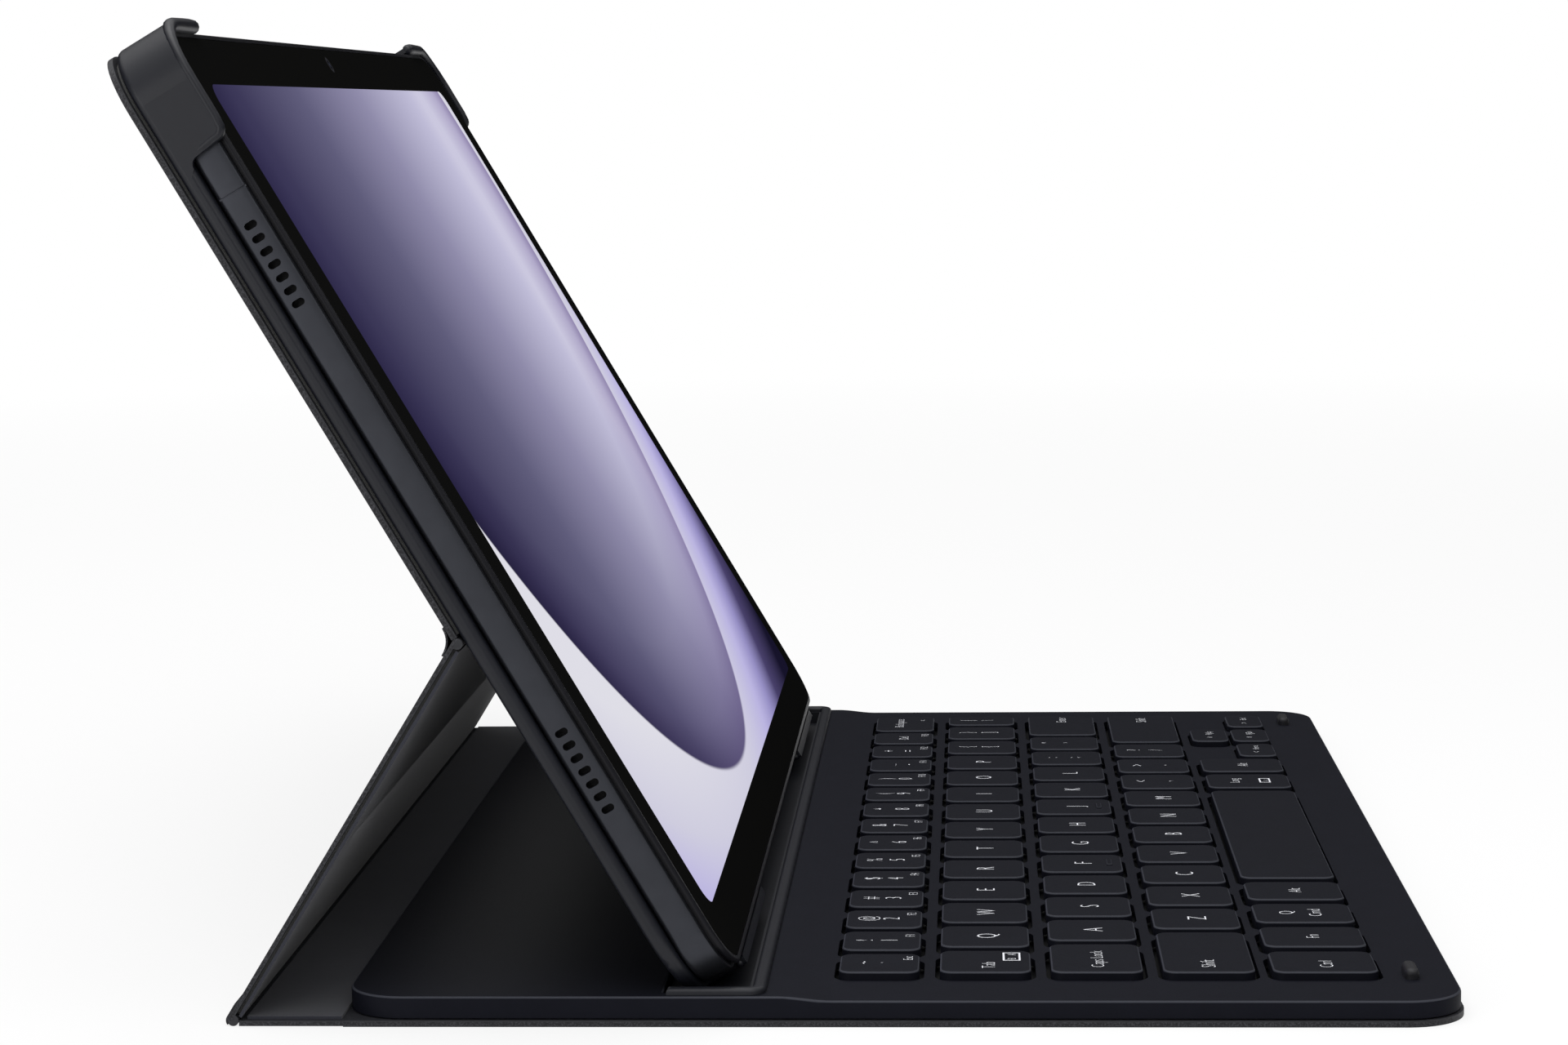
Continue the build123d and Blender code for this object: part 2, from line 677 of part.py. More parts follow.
for node, (x, length) in buttons.items():
    with BuildPart() as button:
        with BuildSketch(top_edge.offset(-button_inside)):
            with Locations((x, button_depth)):
                SlotOverall(length, button_slot)
        extrude(amount=button_inside + button_proud)
        fillet(button.faces().sort_by(Axis(screen_origin, along))[-1].edges(), 0.25)
    save(button.part, node)

mesh_thick = 0.5
with BuildPart() as speaker_mesh:
    for x in (-1, 1):
        with BuildSketch(side.offset(x * (tablet_half - housing_wall - mesh_thick / 2))):
            with Locations(*[(row, -speaker_depth) for row in speaker_rows]):
                Rectangle(speaker_span + 4, speaker_slot[0] + 0.9)
        extrude(amount=mesh_thick / 2, both=True)
save(speaker_mesh.part, "speaker_mesh")

lens_x = -1.5
lens_height = screen_height + 5.4
with BuildPart() as bezel_frame:
    with BuildSketch(screen.offset(-metal_front)):
        add(tablet_plan(seat_inset))
    extrude(amount=metal_front - bezel_seat)
    with BuildSketch(screen.offset(-bezel_seat)):
        add(tablet_plan(bezel_inset))
    extrude(amount=bezel_seat - glass_gap)
    fillet(bezel_frame.faces().sort_by(Axis(screen_origin, out))[-1].edges(), 0.5)
    with BuildSketch(screen.offset(-bezel_seat)):
        add(tablet_plan(glass_inset - glass_gap))
    extrude(amount=bezel_seat, mode=Mode.SUBTRACT)
    with BuildSketch(screen.offset(-metal_front)):
        with Locations((0, screen_height / 2)):
            Rectangle(screen_width + 1.0, screen_height + 1.0)
        with Locations((lens_x, lens_height)):
            Circle(1.8)
    extrude(amount=metal_front, mode=Mode.SUBTRACT)
save(bezel_frame.part, "bezel_frame")

with BuildPart() as front_glass:
    with BuildSketch(screen.offset(-glass_thick)):
        add(tablet_plan(glass_inset))
    extrude(amount=glass_thick)
    chamfer(front_glass.faces().sort_by(Axis(screen_origin, out))[-1].edges(), 0.12)
save(front_glass.part, "front_glass")

with BuildPart() as display_panel:
    with BuildSketch(screen.offset(-metal_front)):
        with Locations((0, screen_height / 2)):
            Rectangle(screen_width, screen_height)
    extrude(amount=metal_front - glass_thick - 0.02)
save(display_panel.part, "display_panel")

with BuildPart() as front_camera:
    with BuildSketch(screen.offset(-3.2)):
        with Locations((lens_x, lens_height)):
            Circle(1.5)
    extrude(amount=3.2 - glass_thick - 0.02)
save(front_camera.part, "front_camera")

with BuildPart() as rear_camera:
    with BuildSketch(screen.offset(-tablet_thick)):
        with Locations((camera_x, camera_height)):
            Circle(camera_bump / 2)
    extrude(amount=-camera_proud)
    chamfer(rear_camera.faces().sort_by(Axis(screen_origin, out))[0].edges(), 0.3)
    with BuildSketch(screen.offset(-tablet_thick - camera_proud)):
        with Locations((camera_x, camera_height)):
            Circle(camera_bump / 2 - 1.6)
    extrude(amount=0.25, mode=Mode.SUBTRACT)
save(rear_camera.part, "rear_camera")

cavity_floor = housing_back + 0.05 - tablet_thick
main_board_thick = 1.0
with BuildPart() as tablet_battery:
    with BuildSketch(screen.offset(cavity_floor)):
        add(plan(58, 22, 122, 2, 2))
    extrude(amount=3.7)
save(tablet_battery.part, "tablet_battery")

with BuildPart() as main_board:
    with BuildSketch(screen.offset(cavity_floor)):
        with Locations((92, 86)):
            Rectangle(52, 100)
    extrude(amount=main_board_thick)
    with BuildSketch(screen.offset(cavity_floor + main_board_thick)):
        with Locations((88, 70), (98, 104)):
            Rectangle(16, 16)
    extrude(amount=1.2)
save(main_board.part, "main_board")

print("screen origin", screen_origin, "foot", foot)
print("folds", fold_1, fold_2, fold_3, "kickstand", kick_length, "lean", kick_lean)
print("out", out, "along", along)
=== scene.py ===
# %% [markdown]
# # A tablet keyboard case
#
# The solid parts of this case come in already made, as a fixed frame.
# Each script of this kind starts by loading that frame. Everything added later is placed from
# the frame's own joints, mounts and boxes, so nothing has to be fitted by eye.

# %% Load the frame
import json
import math

import bpy
from mathutils import Matrix, Vector


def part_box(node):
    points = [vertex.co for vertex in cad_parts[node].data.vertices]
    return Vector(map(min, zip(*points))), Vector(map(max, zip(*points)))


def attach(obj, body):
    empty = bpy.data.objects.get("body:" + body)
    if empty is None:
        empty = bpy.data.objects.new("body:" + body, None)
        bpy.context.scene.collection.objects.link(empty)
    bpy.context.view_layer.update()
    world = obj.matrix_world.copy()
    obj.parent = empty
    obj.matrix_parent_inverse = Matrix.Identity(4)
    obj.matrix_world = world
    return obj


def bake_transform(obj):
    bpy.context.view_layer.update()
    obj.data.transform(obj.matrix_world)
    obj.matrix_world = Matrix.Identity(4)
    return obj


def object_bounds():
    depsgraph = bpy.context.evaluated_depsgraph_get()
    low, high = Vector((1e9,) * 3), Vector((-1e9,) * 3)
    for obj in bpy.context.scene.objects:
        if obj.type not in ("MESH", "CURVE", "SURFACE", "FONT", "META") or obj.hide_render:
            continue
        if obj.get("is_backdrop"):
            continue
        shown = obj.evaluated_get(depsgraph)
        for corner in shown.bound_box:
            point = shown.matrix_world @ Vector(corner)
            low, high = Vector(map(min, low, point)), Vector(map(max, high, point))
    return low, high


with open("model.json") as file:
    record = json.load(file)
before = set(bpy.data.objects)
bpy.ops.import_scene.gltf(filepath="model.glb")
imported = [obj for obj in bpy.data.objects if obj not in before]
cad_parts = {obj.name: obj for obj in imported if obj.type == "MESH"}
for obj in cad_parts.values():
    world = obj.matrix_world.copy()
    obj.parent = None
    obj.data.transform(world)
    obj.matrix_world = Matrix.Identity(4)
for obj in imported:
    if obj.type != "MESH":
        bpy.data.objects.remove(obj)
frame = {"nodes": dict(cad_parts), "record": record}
cad_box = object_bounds()
nodes = frame["nodes"]
record = frame["record"]
bpy.ops.object.select_all(action="DESELECT")
print(len(nodes), "nodes, box", [round(v * 1000, 1) for corner in cad_box for v in corner])

# %% [markdown]
# The case stands in three flat directions: the table, the kickstand flap and the screen.
# The record names the fold lines and the direction in which the tablet lifts out. From these
# come two small rulers: one measures on the screen, the other along the kickstand. All the
# places further down are read with them, in millimetres.

# %% Rulers for the screen and the kickstand
MM = 0.001
lit_height = 148.1      # the lit picture, up the screen
pocket_depth = 6.6      # the tray's lining to the front of the glass
joints = {joint["name"]: joint for joint in record["behaviour"]["joints"]}
out = Vector(joints["tablet_lift"]["axis"]).normalized()
across = Vector((1, 0, 0))
along = out.cross(across)
pocket = Vector(next(m for m in record["mounts"] if m["name"] == "tray_pocket")["pos_m"])
screen_corner = pocket - along * (lit_height / 2) * MM + out * pocket_depth * MM
fold_2 = Vector(joints["kickstand_fold"]["pos_m"])
fold_3 = Vector(joints["tray_fold"]["pos_m"])
kick_along = (fold_3 - fold_2).normalized()
kick_in = across.cross(kick_along)
kick_length = (fold_3 - fold_2).length / MM


def on_screen(x, height, depth):
    """Across, up the screen and out of the screen, from the middle of its lower edge."""
    return screen_corner + (across * x + along * height + out * depth) * MM


def on_kick(x, up, inward):
    """Across, up the kickstand from its foot, and towards the tablet's side."""
    return fold_2 + (across * x + kick_along * up + kick_in * inward) * MM


half_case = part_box("tray_shell")[1].x / MM
print("screen corner", screen_corner)
print("kickstand", round(kick_length, 2), "half case", round(half_case, 2))

# %% [markdown]
# ## Finishes
#
# Nearly everything here is black or dark grey, so the finishes have to differ in grain and
# sheen instead of colour. Each one is a Principled shader fed by procedural noise. A noise
# varies the colour a little, and a finer one varies the roughness and also gives the bump.
# The helper below wires these three, because every moulded part needs the same set.

# %% A helper for moulded and printed finishes
def finish(name, colour, rough, grain=4000.0, bump=0.1, vary=0.15, specular=0.25, metal=0.0,
           edge=None):
    """A finish with mottled colour, uneven roughness and a fine grain, scaled per metre.

    With an edge colour, faces that lean between upright and level are lighter: a painted highlight
    on rounded edges.
    """
    made = bpy.data.materials.new(name)
    made.use_nodes = True
    tree = made.node_tree
    shader = tree.nodes["Principled BSDF"]
    shader.inputs["Metallic"].default_value = metal
    shader.inputs["Specular IOR Level"].default_value = specular
    place = tree.nodes.new("ShaderNodeTexCoord")
    mottle = tree.nodes.new("ShaderNodeTexNoise")
    mottle.inputs["Scale"].default_value = grain / 25
    mottle.inputs["Detail"].default_value = 3.0
    tones = tree.nodes.new("ShaderNodeMix")
    tones.data_type = "RGBA"
    tones.inputs["A"].default_value = (*[c * (1 - vary) for c in colour], 1)
    tones.inputs["B"].default_value = (*[c * (1 + vary) for c in colour], 1)
    fine = tree.nodes.new("ShaderNodeTexNoise")
    fine.inputs["Scale"].default_value = grain
    fine.inputs["Detail"].default_value = 2.0
    spread = tree.nodes.new("ShaderNodeMapRange")
    spread.inputs["To Min"].default_value = rough - 0.06
    spread.inputs["To Max"].default_value = rough + 0.06
    relief = tree.nodes.new("ShaderNodeBump")
    relief.inputs["Strength"].default_value = bump
    relief.inputs["Distance"].default_value = 0.03 * MM
    wire = tree.links.new
    wire(place.outputs["Object"], mottle.inputs["Vector"])
    wire(place.outputs["Object"], fine.inputs["Vector"])
    wire(mottle.outputs["Fac"], tones.inputs["Factor"])
    base = tones.outputs["Result"]
    # Faces that lean between upright and level take the edge colour: a painted highlight on rounded
    # edges.
    if edge:
        shape = tree.nodes.new("ShaderNodeNewGeometry")
        upright = tree.nodes.new("ShaderNodeSeparateXYZ")
        wire(shape.outputs["Normal"], upright.inputs["Vector"])
        leaning = tree.nodes.new("ShaderNodeValToRGB")
        stops = leaning.color_ramp.elements
        while len(stops) < 4:
            stops.new(0.5)
        lean = ((0.25, 0.0), (0.45, 1.0), (0.90, 1.0), (0.975, 0.0))
        for stop, (position, value) in zip(stops, lean):
            stop.position = position
            stop.color = (value, value, value, 1)
        wire(upright.outputs["Z"], leaning.inputs["Fac"])
        highlight_mix = tree.nodes.new("ShaderNodeMix")
        highlight_mix.data_type = "RGBA"
        highlight_mix.inputs["B"].default_value = (*edge, 1)
        wire(leaning.outputs["Color"], highlight_mix.inputs["Factor"])
        wire(base, highlight_mix.inputs["A"])
        base = highlight_mix.outputs["Result"]
    wire(base, shader.inputs["Base Color"])
    wire(fine.outputs["Fac"], spread.inputs["Value"])
    wire(spread.outputs["Result"], shader.inputs["Roughness"])
    wire(fine.outputs["Fac"], relief.inputs["Height"])
    wire(relief.outputs["Normal"], shader.inputs["Normal"])
    return made


def dress(name, *node_names):
    """Puts a finish on each named node."""
    for node in node_names:
        slots = nodes[node].data.materials
        slots.clear()
        slots.append(bpy.data.materials[name])


print("finish helper ready")

# %% [markdown]
# The deck and the keys are moulded in the same dark plastic. A spark-eroded mould leaves a
# very fine matte grain on it. The deck takes a slightly lighter tone than the caps, so that
# each key reads as its own piece. The rounded edges carry a painted highlight a shade
# lighter, and that thin line draws the outline of every cap.

# %% Deck and key plastic
# A painted highlight: the lighter colour put on the rounded edges of the deck and the caps.
painted_edge_highlight = (0.036, 0.038, 0.047)
finish("deck plastic", (0.0052, 0.0056, 0.0092), 0.56, grain=5200, bump=0.10, specular=0.06,
       edge=painted_edge_highlight)
finish("key plastic", (0.0054, 0.0058, 0.0092), 0.52, grain=5200, bump=0.10, specular=0.07,
       edge=painted_edge_highlight)
finish("groove plastic", (0.0110, 0.0116, 0.0150), 0.44, grain=4200, bump=0.08, specular=0.2)
finish("bumper rubber", (0.0070, 0.0070, 0.0090), 0.55, grain=3000, bump=0.2, specular=0.3)
dress("deck plastic", "deck_case")
dress("groove plastic", "groove_liner")
dress("bumper rubber", "front_bumpers")
key_nodes = [name for name in nodes if name.startswith("key_") or name.startswith("keys_")]
key_nodes = [name for name in key_nodes if name not in ("key_plate", "key_membrane")]
dress("key plastic", *key_nodes)
print(len(key_nodes), "key nodes")

# %% [markdown]
# The tray is a harder plastic with a satin face. It bends the light more than the deck does,
# which draws a thin bright line along its rounded rail.

# %% Tray plastic and camera ring
finish("tray plastic", (0.0066, 0.0072, 0.0108), 0.42, grain=4500, bump=0.15, specular=0.3)
dress("tray plastic", "tray_shell")
finish("ring paint", (0.0200, 0.0205, 0.0240), 0.30, grain=3500, bump=0.05, specular=0.5)
dress("ring paint", "camera_ring")
print("tray dressed")

# %% [markdown]
# ## Faux leather
#
# The outer skin is faux leather: a film with a pebbled grain on a woven backing. The panels
# are cut through, so their edges show the layers, with a thin dark film on each side and a
# speckled core between them. A Voronoi texture makes the pebbles. To draw the layers, the
# finish measures each point's depth through its panel, as a dot product with the panel's own
# direction, and uses the core only on faces that look sideways.

# %% A helper for leather panels
def leather(name, start, through, thickness):
    """Pebbled film on both faces and a speckled core on the cut edges."""
    made = bpy.data.materials.new(name)
    made.use_nodes = True
    tree = made.node_tree
    wire = tree.links.new
    shader = tree.nodes["Principled BSDF"]
    shader.inputs["Specular IOR Level"].default_value = 0.3
    place = tree.nodes.new("ShaderNodeTexCoord")
    pebbles = tree.nodes.new("ShaderNodeTexVoronoi")
    pebbles.inputs["Scale"].default_value = 1500.0
    tones = tree.nodes.new("ShaderNodeMix")
    tones.data_type = "RGBA"
    tones.inputs["A"].default_value = (0.0130, 0.0135, 0.0165, 1)
    tones.inputs["B"].default_value = (0.0230, 0.0235, 0.0275, 1)
    specks = tree.nodes.new("ShaderNodeTexNoise")
    specks.inputs["Scale"].default_value = 3600.0
    specks.inputs["Detail"].default_value = 4.0
    core = tree.nodes.new("ShaderNodeValToRGB")
    core.color_ramp.elements[0].position = 0.46
    core.color_ramp.elements[0].color = (0.0060, 0.0060, 0.0080, 1)
    core.color_ramp.elements[1].position = 0.62
    core.color_ramp.elements[1].color = (0.0340, 0.0345, 0.0400, 1)
    depth = tree.nodes.new("ShaderNodeVectorMath")
    depth.operation = "DOT_PRODUCT"
    depth.inputs[1].default_value = through
    layers = tree.nodes.new("ShaderNodeMapRange")
    low = start.dot(through)
    layers.inputs["From Min"].default_value = low
    layers.inputs["From Max"].default_value = low + thickness
    band = tree.nodes.new("ShaderNodeValToRGB")
    band.color_ramp.elements[0].position = 0.12
    band.color_ramp.elements[0].color = (0, 0, 0, 1)
    band.color_ramp.elements[1].position = 0.20
    band.color_ramp.elements[1].color = (1, 1, 1, 1)
    for position, value in ((0.78, 1.0), (0.86, 0.0)):
        stop = band.color_ramp.elements.new(position)
        stop.color = (value, value, value, 1)
    shape = tree.nodes.new("ShaderNodeNewGeometry")
    facing = tree.nodes.new("ShaderNodeSeparateXYZ")
    sideways = tree.nodes.new("ShaderNodeMath")
    sideways.operation = "ABSOLUTE"
    cut = tree.nodes.new("ShaderNodeMath")
    cut.operation = "GREATER_THAN"
    cut.inputs[1].default_value = 0.6
    only_core = tree.nodes.new("ShaderNodeMath")
    only_core.operation = "MULTIPLY"
    edge = tree.nodes.new("ShaderNodeMix")
    edge.data_type = "RGBA"
    rough = tree.nodes.new("ShaderNodeMapRange")
    rough.inputs["To Min"].default_value = 0.42
    rough.inputs["To Max"].default_value = 0.62
    relief = tree.nodes.new("ShaderNodeBump")
    relief.inputs["Strength"].default_value = 0.35
    relief.inputs["Distance"].default_value = 0.00006
    wire(place.outputs["Object"], pebbles.inputs["Vector"])
    wire(place.outputs["Object"], specks.inputs["Vector"])
    wire(place.outputs["Object"], depth.inputs[0])
    wire(pebbles.outputs["Distance"], tones.inputs["Factor"])
    wire(pebbles.outputs["Distance"], rough.inputs["Value"])
    wire(pebbles.outputs["Distance"], relief.inputs["Height"])
    wire(specks.outputs["Fac"], core.inputs["Fac"])
    wire(depth.outputs["Value"], layers.inputs["Value"])
    wire(layers.outputs["Result"], band.inputs["Fac"])
    wire(shape.outputs["Normal"], facing.inputs["Vector"])
    wire(facing.outputs["X"], sideways.inputs[0])
    wire(sideways.outputs["Value"], cut.inputs[0])
    wire(cut.outputs["Value"], only_core.inputs[0])
    wire(band.outputs["Color"], only_core.inputs[1])
    wire(only_core.outputs["Value"], edge.inputs["Factor"])
    wire(tones.outputs["Result"], edge.inputs["A"])
    wire(core.outputs["Color"], edge.inputs["B"])
    wire(edge.outputs["Result"], shader.inputs["Base Color"])
    wire(rough.outputs["Result"], shader.inputs["Roughness"])
    wire(relief.outputs["Normal"], shader.inputs["Normal"])
    return made


base_skin, spine_skin, kick_skin, back_skin = 1.0, 0.85, 0.7, 0.95
table, level_up = Vector((0, 0, 0)), Vector((0, 0, 1))
back_outside = on_screen(0, 0, -10.7)
kick_outside = on_kick(0, 0, -0.85)
leather("base leather", table, level_up, base_skin * MM)
leather("spine leather", table, level_up, spine_skin * MM)
leather("back leather", back_outside, out, back_skin * MM)
leather("kickstand leather", kick_outside, kick_in, kick_skin * MM)
dress("base leather", "base_cover")
dress("spine leather", "spine_cover")
dress("back leather", "back_cover")
dress("kickstand leather", "kickstand_cover")
print("leather through", [round(v, 3) for v in out])

# %% [markdown]
# The inner faces are lined with a smooth brushed cloth. Its nap is so short that it shows only
# as a soft bloom at grazing angles, which the shader's sheen gives. The tray's lining shares
# it, and the stiffening boards get a plain grey board finish.

# %% Lining cloth
lining = finish("lining cloth", (0.0270, 0.0280, 0.0360), 0.75, grain=2600, bump=0.25, specular=0.1)
lining.node_tree.nodes["Principled BSDF"].inputs["Sheen Weight"].default_value = 0.12
lining.node_tree.nodes["Principled BSDF"].inputs["Sheen Roughness"].default_value = 0.5
dress("lining cloth", "spine_lining", "kickstand_lining", "tray_lining")
finish("grey board", (0.0900, 0.0900, 0.0880), 0.80, grain=1500, bump=0.3, specular=0.2)
dress("grey board", "kickstand_board", "back_board")
print("linings dressed")

# %% [markdown]
# ## Hidden parts
#
# The plates, domes, magnets and boards are out of sight while the case is whole, but they show
# in a cutaway, so each has a finish of its own kind: steel, printed film, rubber, green solder
# mask and gold plating. The plate, film and domes under the keys are black, as painted shade
# for the deep slits round the caps, through which they show.

# %% Finishes for the hidden parts
finish("rolled steel", (0.45, 0.46, 0.48), 0.35, grain=900, bump=0.05, metal=1.0, specular=0.5)
dress("rolled steel", "bottom_plate", "groove_magnets", "tray_magnets")
# The plate, the film and the domes are near black as painted shade for the slits round the caps.
finish("steel with painted shade", (0.0060, 0.0060, 0.0070), 0.45, grain=900, bump=0.05, specular=0.2)
dress("steel with painted shade", "key_plate")
finish("membrane film", (0.0070, 0.0072, 0.0080), 0.40, grain=300, bump=0.02, vary=0.3,
       specular=0.15)
dress("membrane film", "key_membrane")
finish("dome rubber", (0.0060, 0.0060, 0.0065), 0.60, grain=1500, bump=0.1, specular=0.1)
dress("dome rubber", "rubber_domes")
finish("solder mask", (0.010, 0.110, 0.050), 0.30, grain=700, bump=0.1, vary=0.5)
dress("solder mask", "controller_board", "main_board")
finish("lead film", (0.42, 0.20, 0.05), 0.35, grain=900, bump=0.05, vary=0.3)
dress("lead film", "keyboard_lead")
finish("gold plating", (0.75, 0.55, 0.25), 0.25, grain=1800, bump=0.05, metal=1.0, specular=0.5)
dress("gold plating", "contact_strip")
finish("battery wrap", (0.075, 0.075, 0.080), 0.50, grain=800, bump=0.1, vary=0.25)
dress("battery wrap", "tablet_battery")
finish("speaker mesh", (0.0050, 0.0050, 0.0055), 0.60, grain=9000, bump=0.6, metal=0.3)
dress("speaker mesh", "speaker_mesh")
finish("lens glass", (0.0040, 0.0040, 0.0060), 0.12, grain=400, bump=0.0, specular=0.5)
dress("lens glass", "front_camera", "rear_camera")
print("hidden parts dressed")

# %% [markdown]
# ## The tablet
#
# The housing is bead-blasted aluminium with a dark anodised skin. Its sides are very slightly
# crowned, which the flat solid doesn't have, so the bump here adds that crown: the height
# follows the depth through the tablet as a shallow arch.

# %% Tablet metal
tablet_thick, metal_front = 6.45, 1.35      # down from the glass to the housing's back and front
metal = finish("tablet metal", (0.040, 0.042, 0.050), 0.42, grain=7000, bump=0.08, metal=0.85,
               specular=0.5)
tree = metal.node_tree
place = tree.nodes.new("ShaderNodeTexCoord")
through = tree.nodes.new("ShaderNodeVectorMath")
through.operation = "DOT_PRODUCT"
through.inputs[1].default_value = out
depth = tree.nodes.new("ShaderNodeMapRange")
depth.inputs["From Min"].default_value = screen_corner.dot(out) - tablet_thick * MM
depth.inputs["From Max"].default_value = screen_corner.dot(out) - metal_front * MM
arch = tree.nodes.new("ShaderNodeFloatCurve")
arch.mapping.curves[0].points[0].location = (0.0, 0.0)
arch.mapping.curves[0].points[1].location = (1.0, 0.0)
arch.mapping.curves[0].points.new(0.5, 1.0)
arch.mapping.update()
crown = tree.nodes.new("ShaderNodeBump")
crown.inputs["Strength"].default_value = 1.0
crown.inputs["Distance"].default_value = 0.30 * MM
tree.links.new(place.outputs["Object"], through.inputs[0])
tree.links.new(through.outputs["Value"], depth.inputs["Value"])
tree.links.new(depth.outputs["Result"], arch.inputs["Value"])
tree.links.new(arch.outputs["Value"], crown.inputs["Height"])
grain = next(node for node in tree.nodes if node.type == "BUMP" and node != crown)
tree.links.new(crown.outputs["Normal"], grain.inputs["Normal"])
dress("tablet metal", "tablet_housing", "power_button", "volume_rocker")
finish("bezel plastic", (0.0080, 0.0080, 0.0100), 0.35, grain=4000, bump=0.05, specular=0.12)
dress("bezel plastic", "bezel_frame")
finish("display back", (0.30, 0.27, 0.45), 0.30, grain=500, bump=0.02)
dress("display back", "display_panel")
print("tablet dressed")

# %% [markdown]
# The glass is printed black from behind round its border, and the lit picture shows through
# the middle. One finish can do both: the picture is an emission, and a mask keeps it inside a
# rectangle with small round corners. The wallpaper is a plain design: one big disc that fades
# from indigo on the left to pale lilac on the right, with a shaded rim, on a pale band that
# ends in a dark corner. The band is the distance from a second centre, fed to a colour ramp.

# %% Glass with a lit wallpaper
def math_node(tree, kind, first, second=None):
    """One sum of two values, each a number or another node's output."""
    made = tree.nodes.new("ShaderNodeMath")
    made.operation = kind
    for socket, value in zip(made.inputs, (first, second)):
        if value is None:
            continue
        if isinstance(value, (int, float)):
            socket.default_value = value
        else:
            tree.links.new(value, socket)
    return made.outputs["Value"]


def hypotenuse(tree, x, y):
    """The long side of a right-angled triangle."""
    squares = [math_node(tree, "MULTIPLY", side, side) for side in (x, y)]
    return math_node(tree, "SQRT", math_node(tree, "ADD", *squares))


def along_direction(tree, vector, direction, origin):
    """Millimetres along a direction, from a point."""
    dot = tree.nodes.new("ShaderNodeVectorMath")
    dot.operation = "DOT_PRODUCT"
    tree.links.new(vector, dot.inputs[0])
    dot.inputs[1].default_value = direction / MM
    return math_node(tree, "SUBTRACT", dot.outputs["Value"], origin.dot(direction) / MM)


lit_half, lit_corner = 118.45, 3.5
glass = bpy.data.materials.new("screen glass")
glass.use_nodes = True
tree = glass.node_tree
shader = tree.nodes["Principled BSDF"]
shader.inputs["Roughness"].default_value = 0.16
shader.inputs["Specular IOR Level"].default_value = 0.0
place = tree.nodes.new("ShaderNodeTexCoord").outputs["Object"]
sideways = along_direction(tree, place, across, screen_corner)
upwards = along_direction(tree, place, along, screen_corner)
off_side = math_node(tree, "ABSOLUTE", sideways)
off_side = math_node(tree, "SUBTRACT", off_side, lit_half - lit_corner)
off_top = math_node(tree, "ABSOLUTE", math_node(tree, "SUBTRACT", upwards, lit_height / 2))
off_top = math_node(tree, "SUBTRACT", off_top, lit_height / 2 - lit_corner)
off_side = math_node(tree, "MAXIMUM", off_side, 0.0)
off_top = math_node(tree, "MAXIMUM", off_top, 0.0)
lit = math_node(tree, "LESS_THAN", hypotenuse(tree, off_side, off_top), lit_corner)


def distance_from(tree, centre_x, centre_up):
    """Distance from a centre on the screen."""
    x = math_node(tree, "SUBTRACT", sideways, centre_x)
    y = math_node(tree, "SUBTRACT", upwards, centre_up)
    return hypotenuse(tree, x, y)


def tone(red, green, blue):
    """A screen colour of 0 to 255 as the light that it gives."""
    return tuple(((v / 255 + 0.055) / 1.055) ** 2.4 for v in (red, green, blue))


def ramp(tree, value, low, high, stops):
    """A colour ramp over a value, from low to high."""
    spread = tree.nodes.new("ShaderNodeMapRange")
    spread.inputs["From Min"].default_value = low
    spread.inputs["From Max"].default_value = high
    tree.links.new(value, spread.inputs["Value"])
    colours = tree.nodes.new("ShaderNodeValToRGB")
    elements = colours.color_ramp.elements
    while len(elements) < len(stops):
        elements.new(0.5)
    for element, (position, colour) in zip(elements, stops):
        element.position = position
        element.color = (*colour, 1)
    tree.links.new(spread.outputs["Result"], colours.inputs["Fac"])
    return colours.outputs["Color"]


disc_middle, disc_radius = (-9.0, 128.0), 124.0
fade = ramp(tree, sideways, -118.0, 82.0,
            [(0.0, tone(48, 44, 78)), (0.09, tone(58, 54, 87)), (0.34, tone(94, 91, 122)),
             (0.64, tone(142, 138, 169)), (0.94, tone(190, 187, 214)), (1.0, tone(202, 199, 222))])
from_disc = distance_from(tree, *disc_middle)
rim_width, rim_blur = 26.0, 0.5
rim = ramp(tree, from_disc, disc_radius - rim_width, disc_radius,
           [(0.0, (1, 1, 1)), (0.65, (0.74, 0.70, 0.80)), (1.0, (0.46, 0.40, 0.56))])
inside = tree.nodes.new("ShaderNodeMix")
inside.data_type = "RGBA"
inside.blend_type = "MULTIPLY"
inside.inputs["Factor"].default_value = 1.0
tree.links.new(fade, inside.inputs["A"])
tree.links.new(rim, inside.inputs["B"])
band_middle, band_near, band_far = (-40.0, 170.0), 150.0, 235.0
outside = ramp(tree, distance_from(tree, *band_middle), band_near, band_far,
               [(0.0, tone(222, 221, 230)), (0.25, tone(206, 204, 222)),
                (0.42, tone(186, 180, 224)), (0.53, tone(150, 143, 196)),
                (0.66, tone(70, 62, 104)), (0.85, tone(14, 10, 38))])
edge = tree.nodes.new("ShaderNodeMapRange")
edge.interpolation_type = "SMOOTHSTEP"
edge.inputs["From Min"].default_value = disc_radius - rim_blur
edge.inputs["From Max"].default_value = disc_radius + rim_blur
tree.links.new(from_disc, edge.inputs["Value"])
picture = tree.nodes.new("ShaderNodeMix")
picture.data_type = "RGBA"
tree.links.new(edge.outputs["Result"], picture.inputs["Factor"])
tree.links.new(inside.outputs["Result"], picture.inputs["A"])
tree.links.new(outside, picture.inputs["B"])
shown = tree.nodes.new("ShaderNodeMix")
shown.data_type = "RGBA"
shown.inputs["A"].default_value = (0, 0, 0, 1)
tree.links.new(lit, shown.inputs["Factor"])
tree.links.new(picture.outputs["Result"], shown.inputs["B"])
tree.links.new(shown.outputs["Result"], shader.inputs["Emission Color"])
shader.inputs["Emission Strength"].default_value = 1.0
lens_middle, lens_radius = (-1.5, 153.2), 2.2
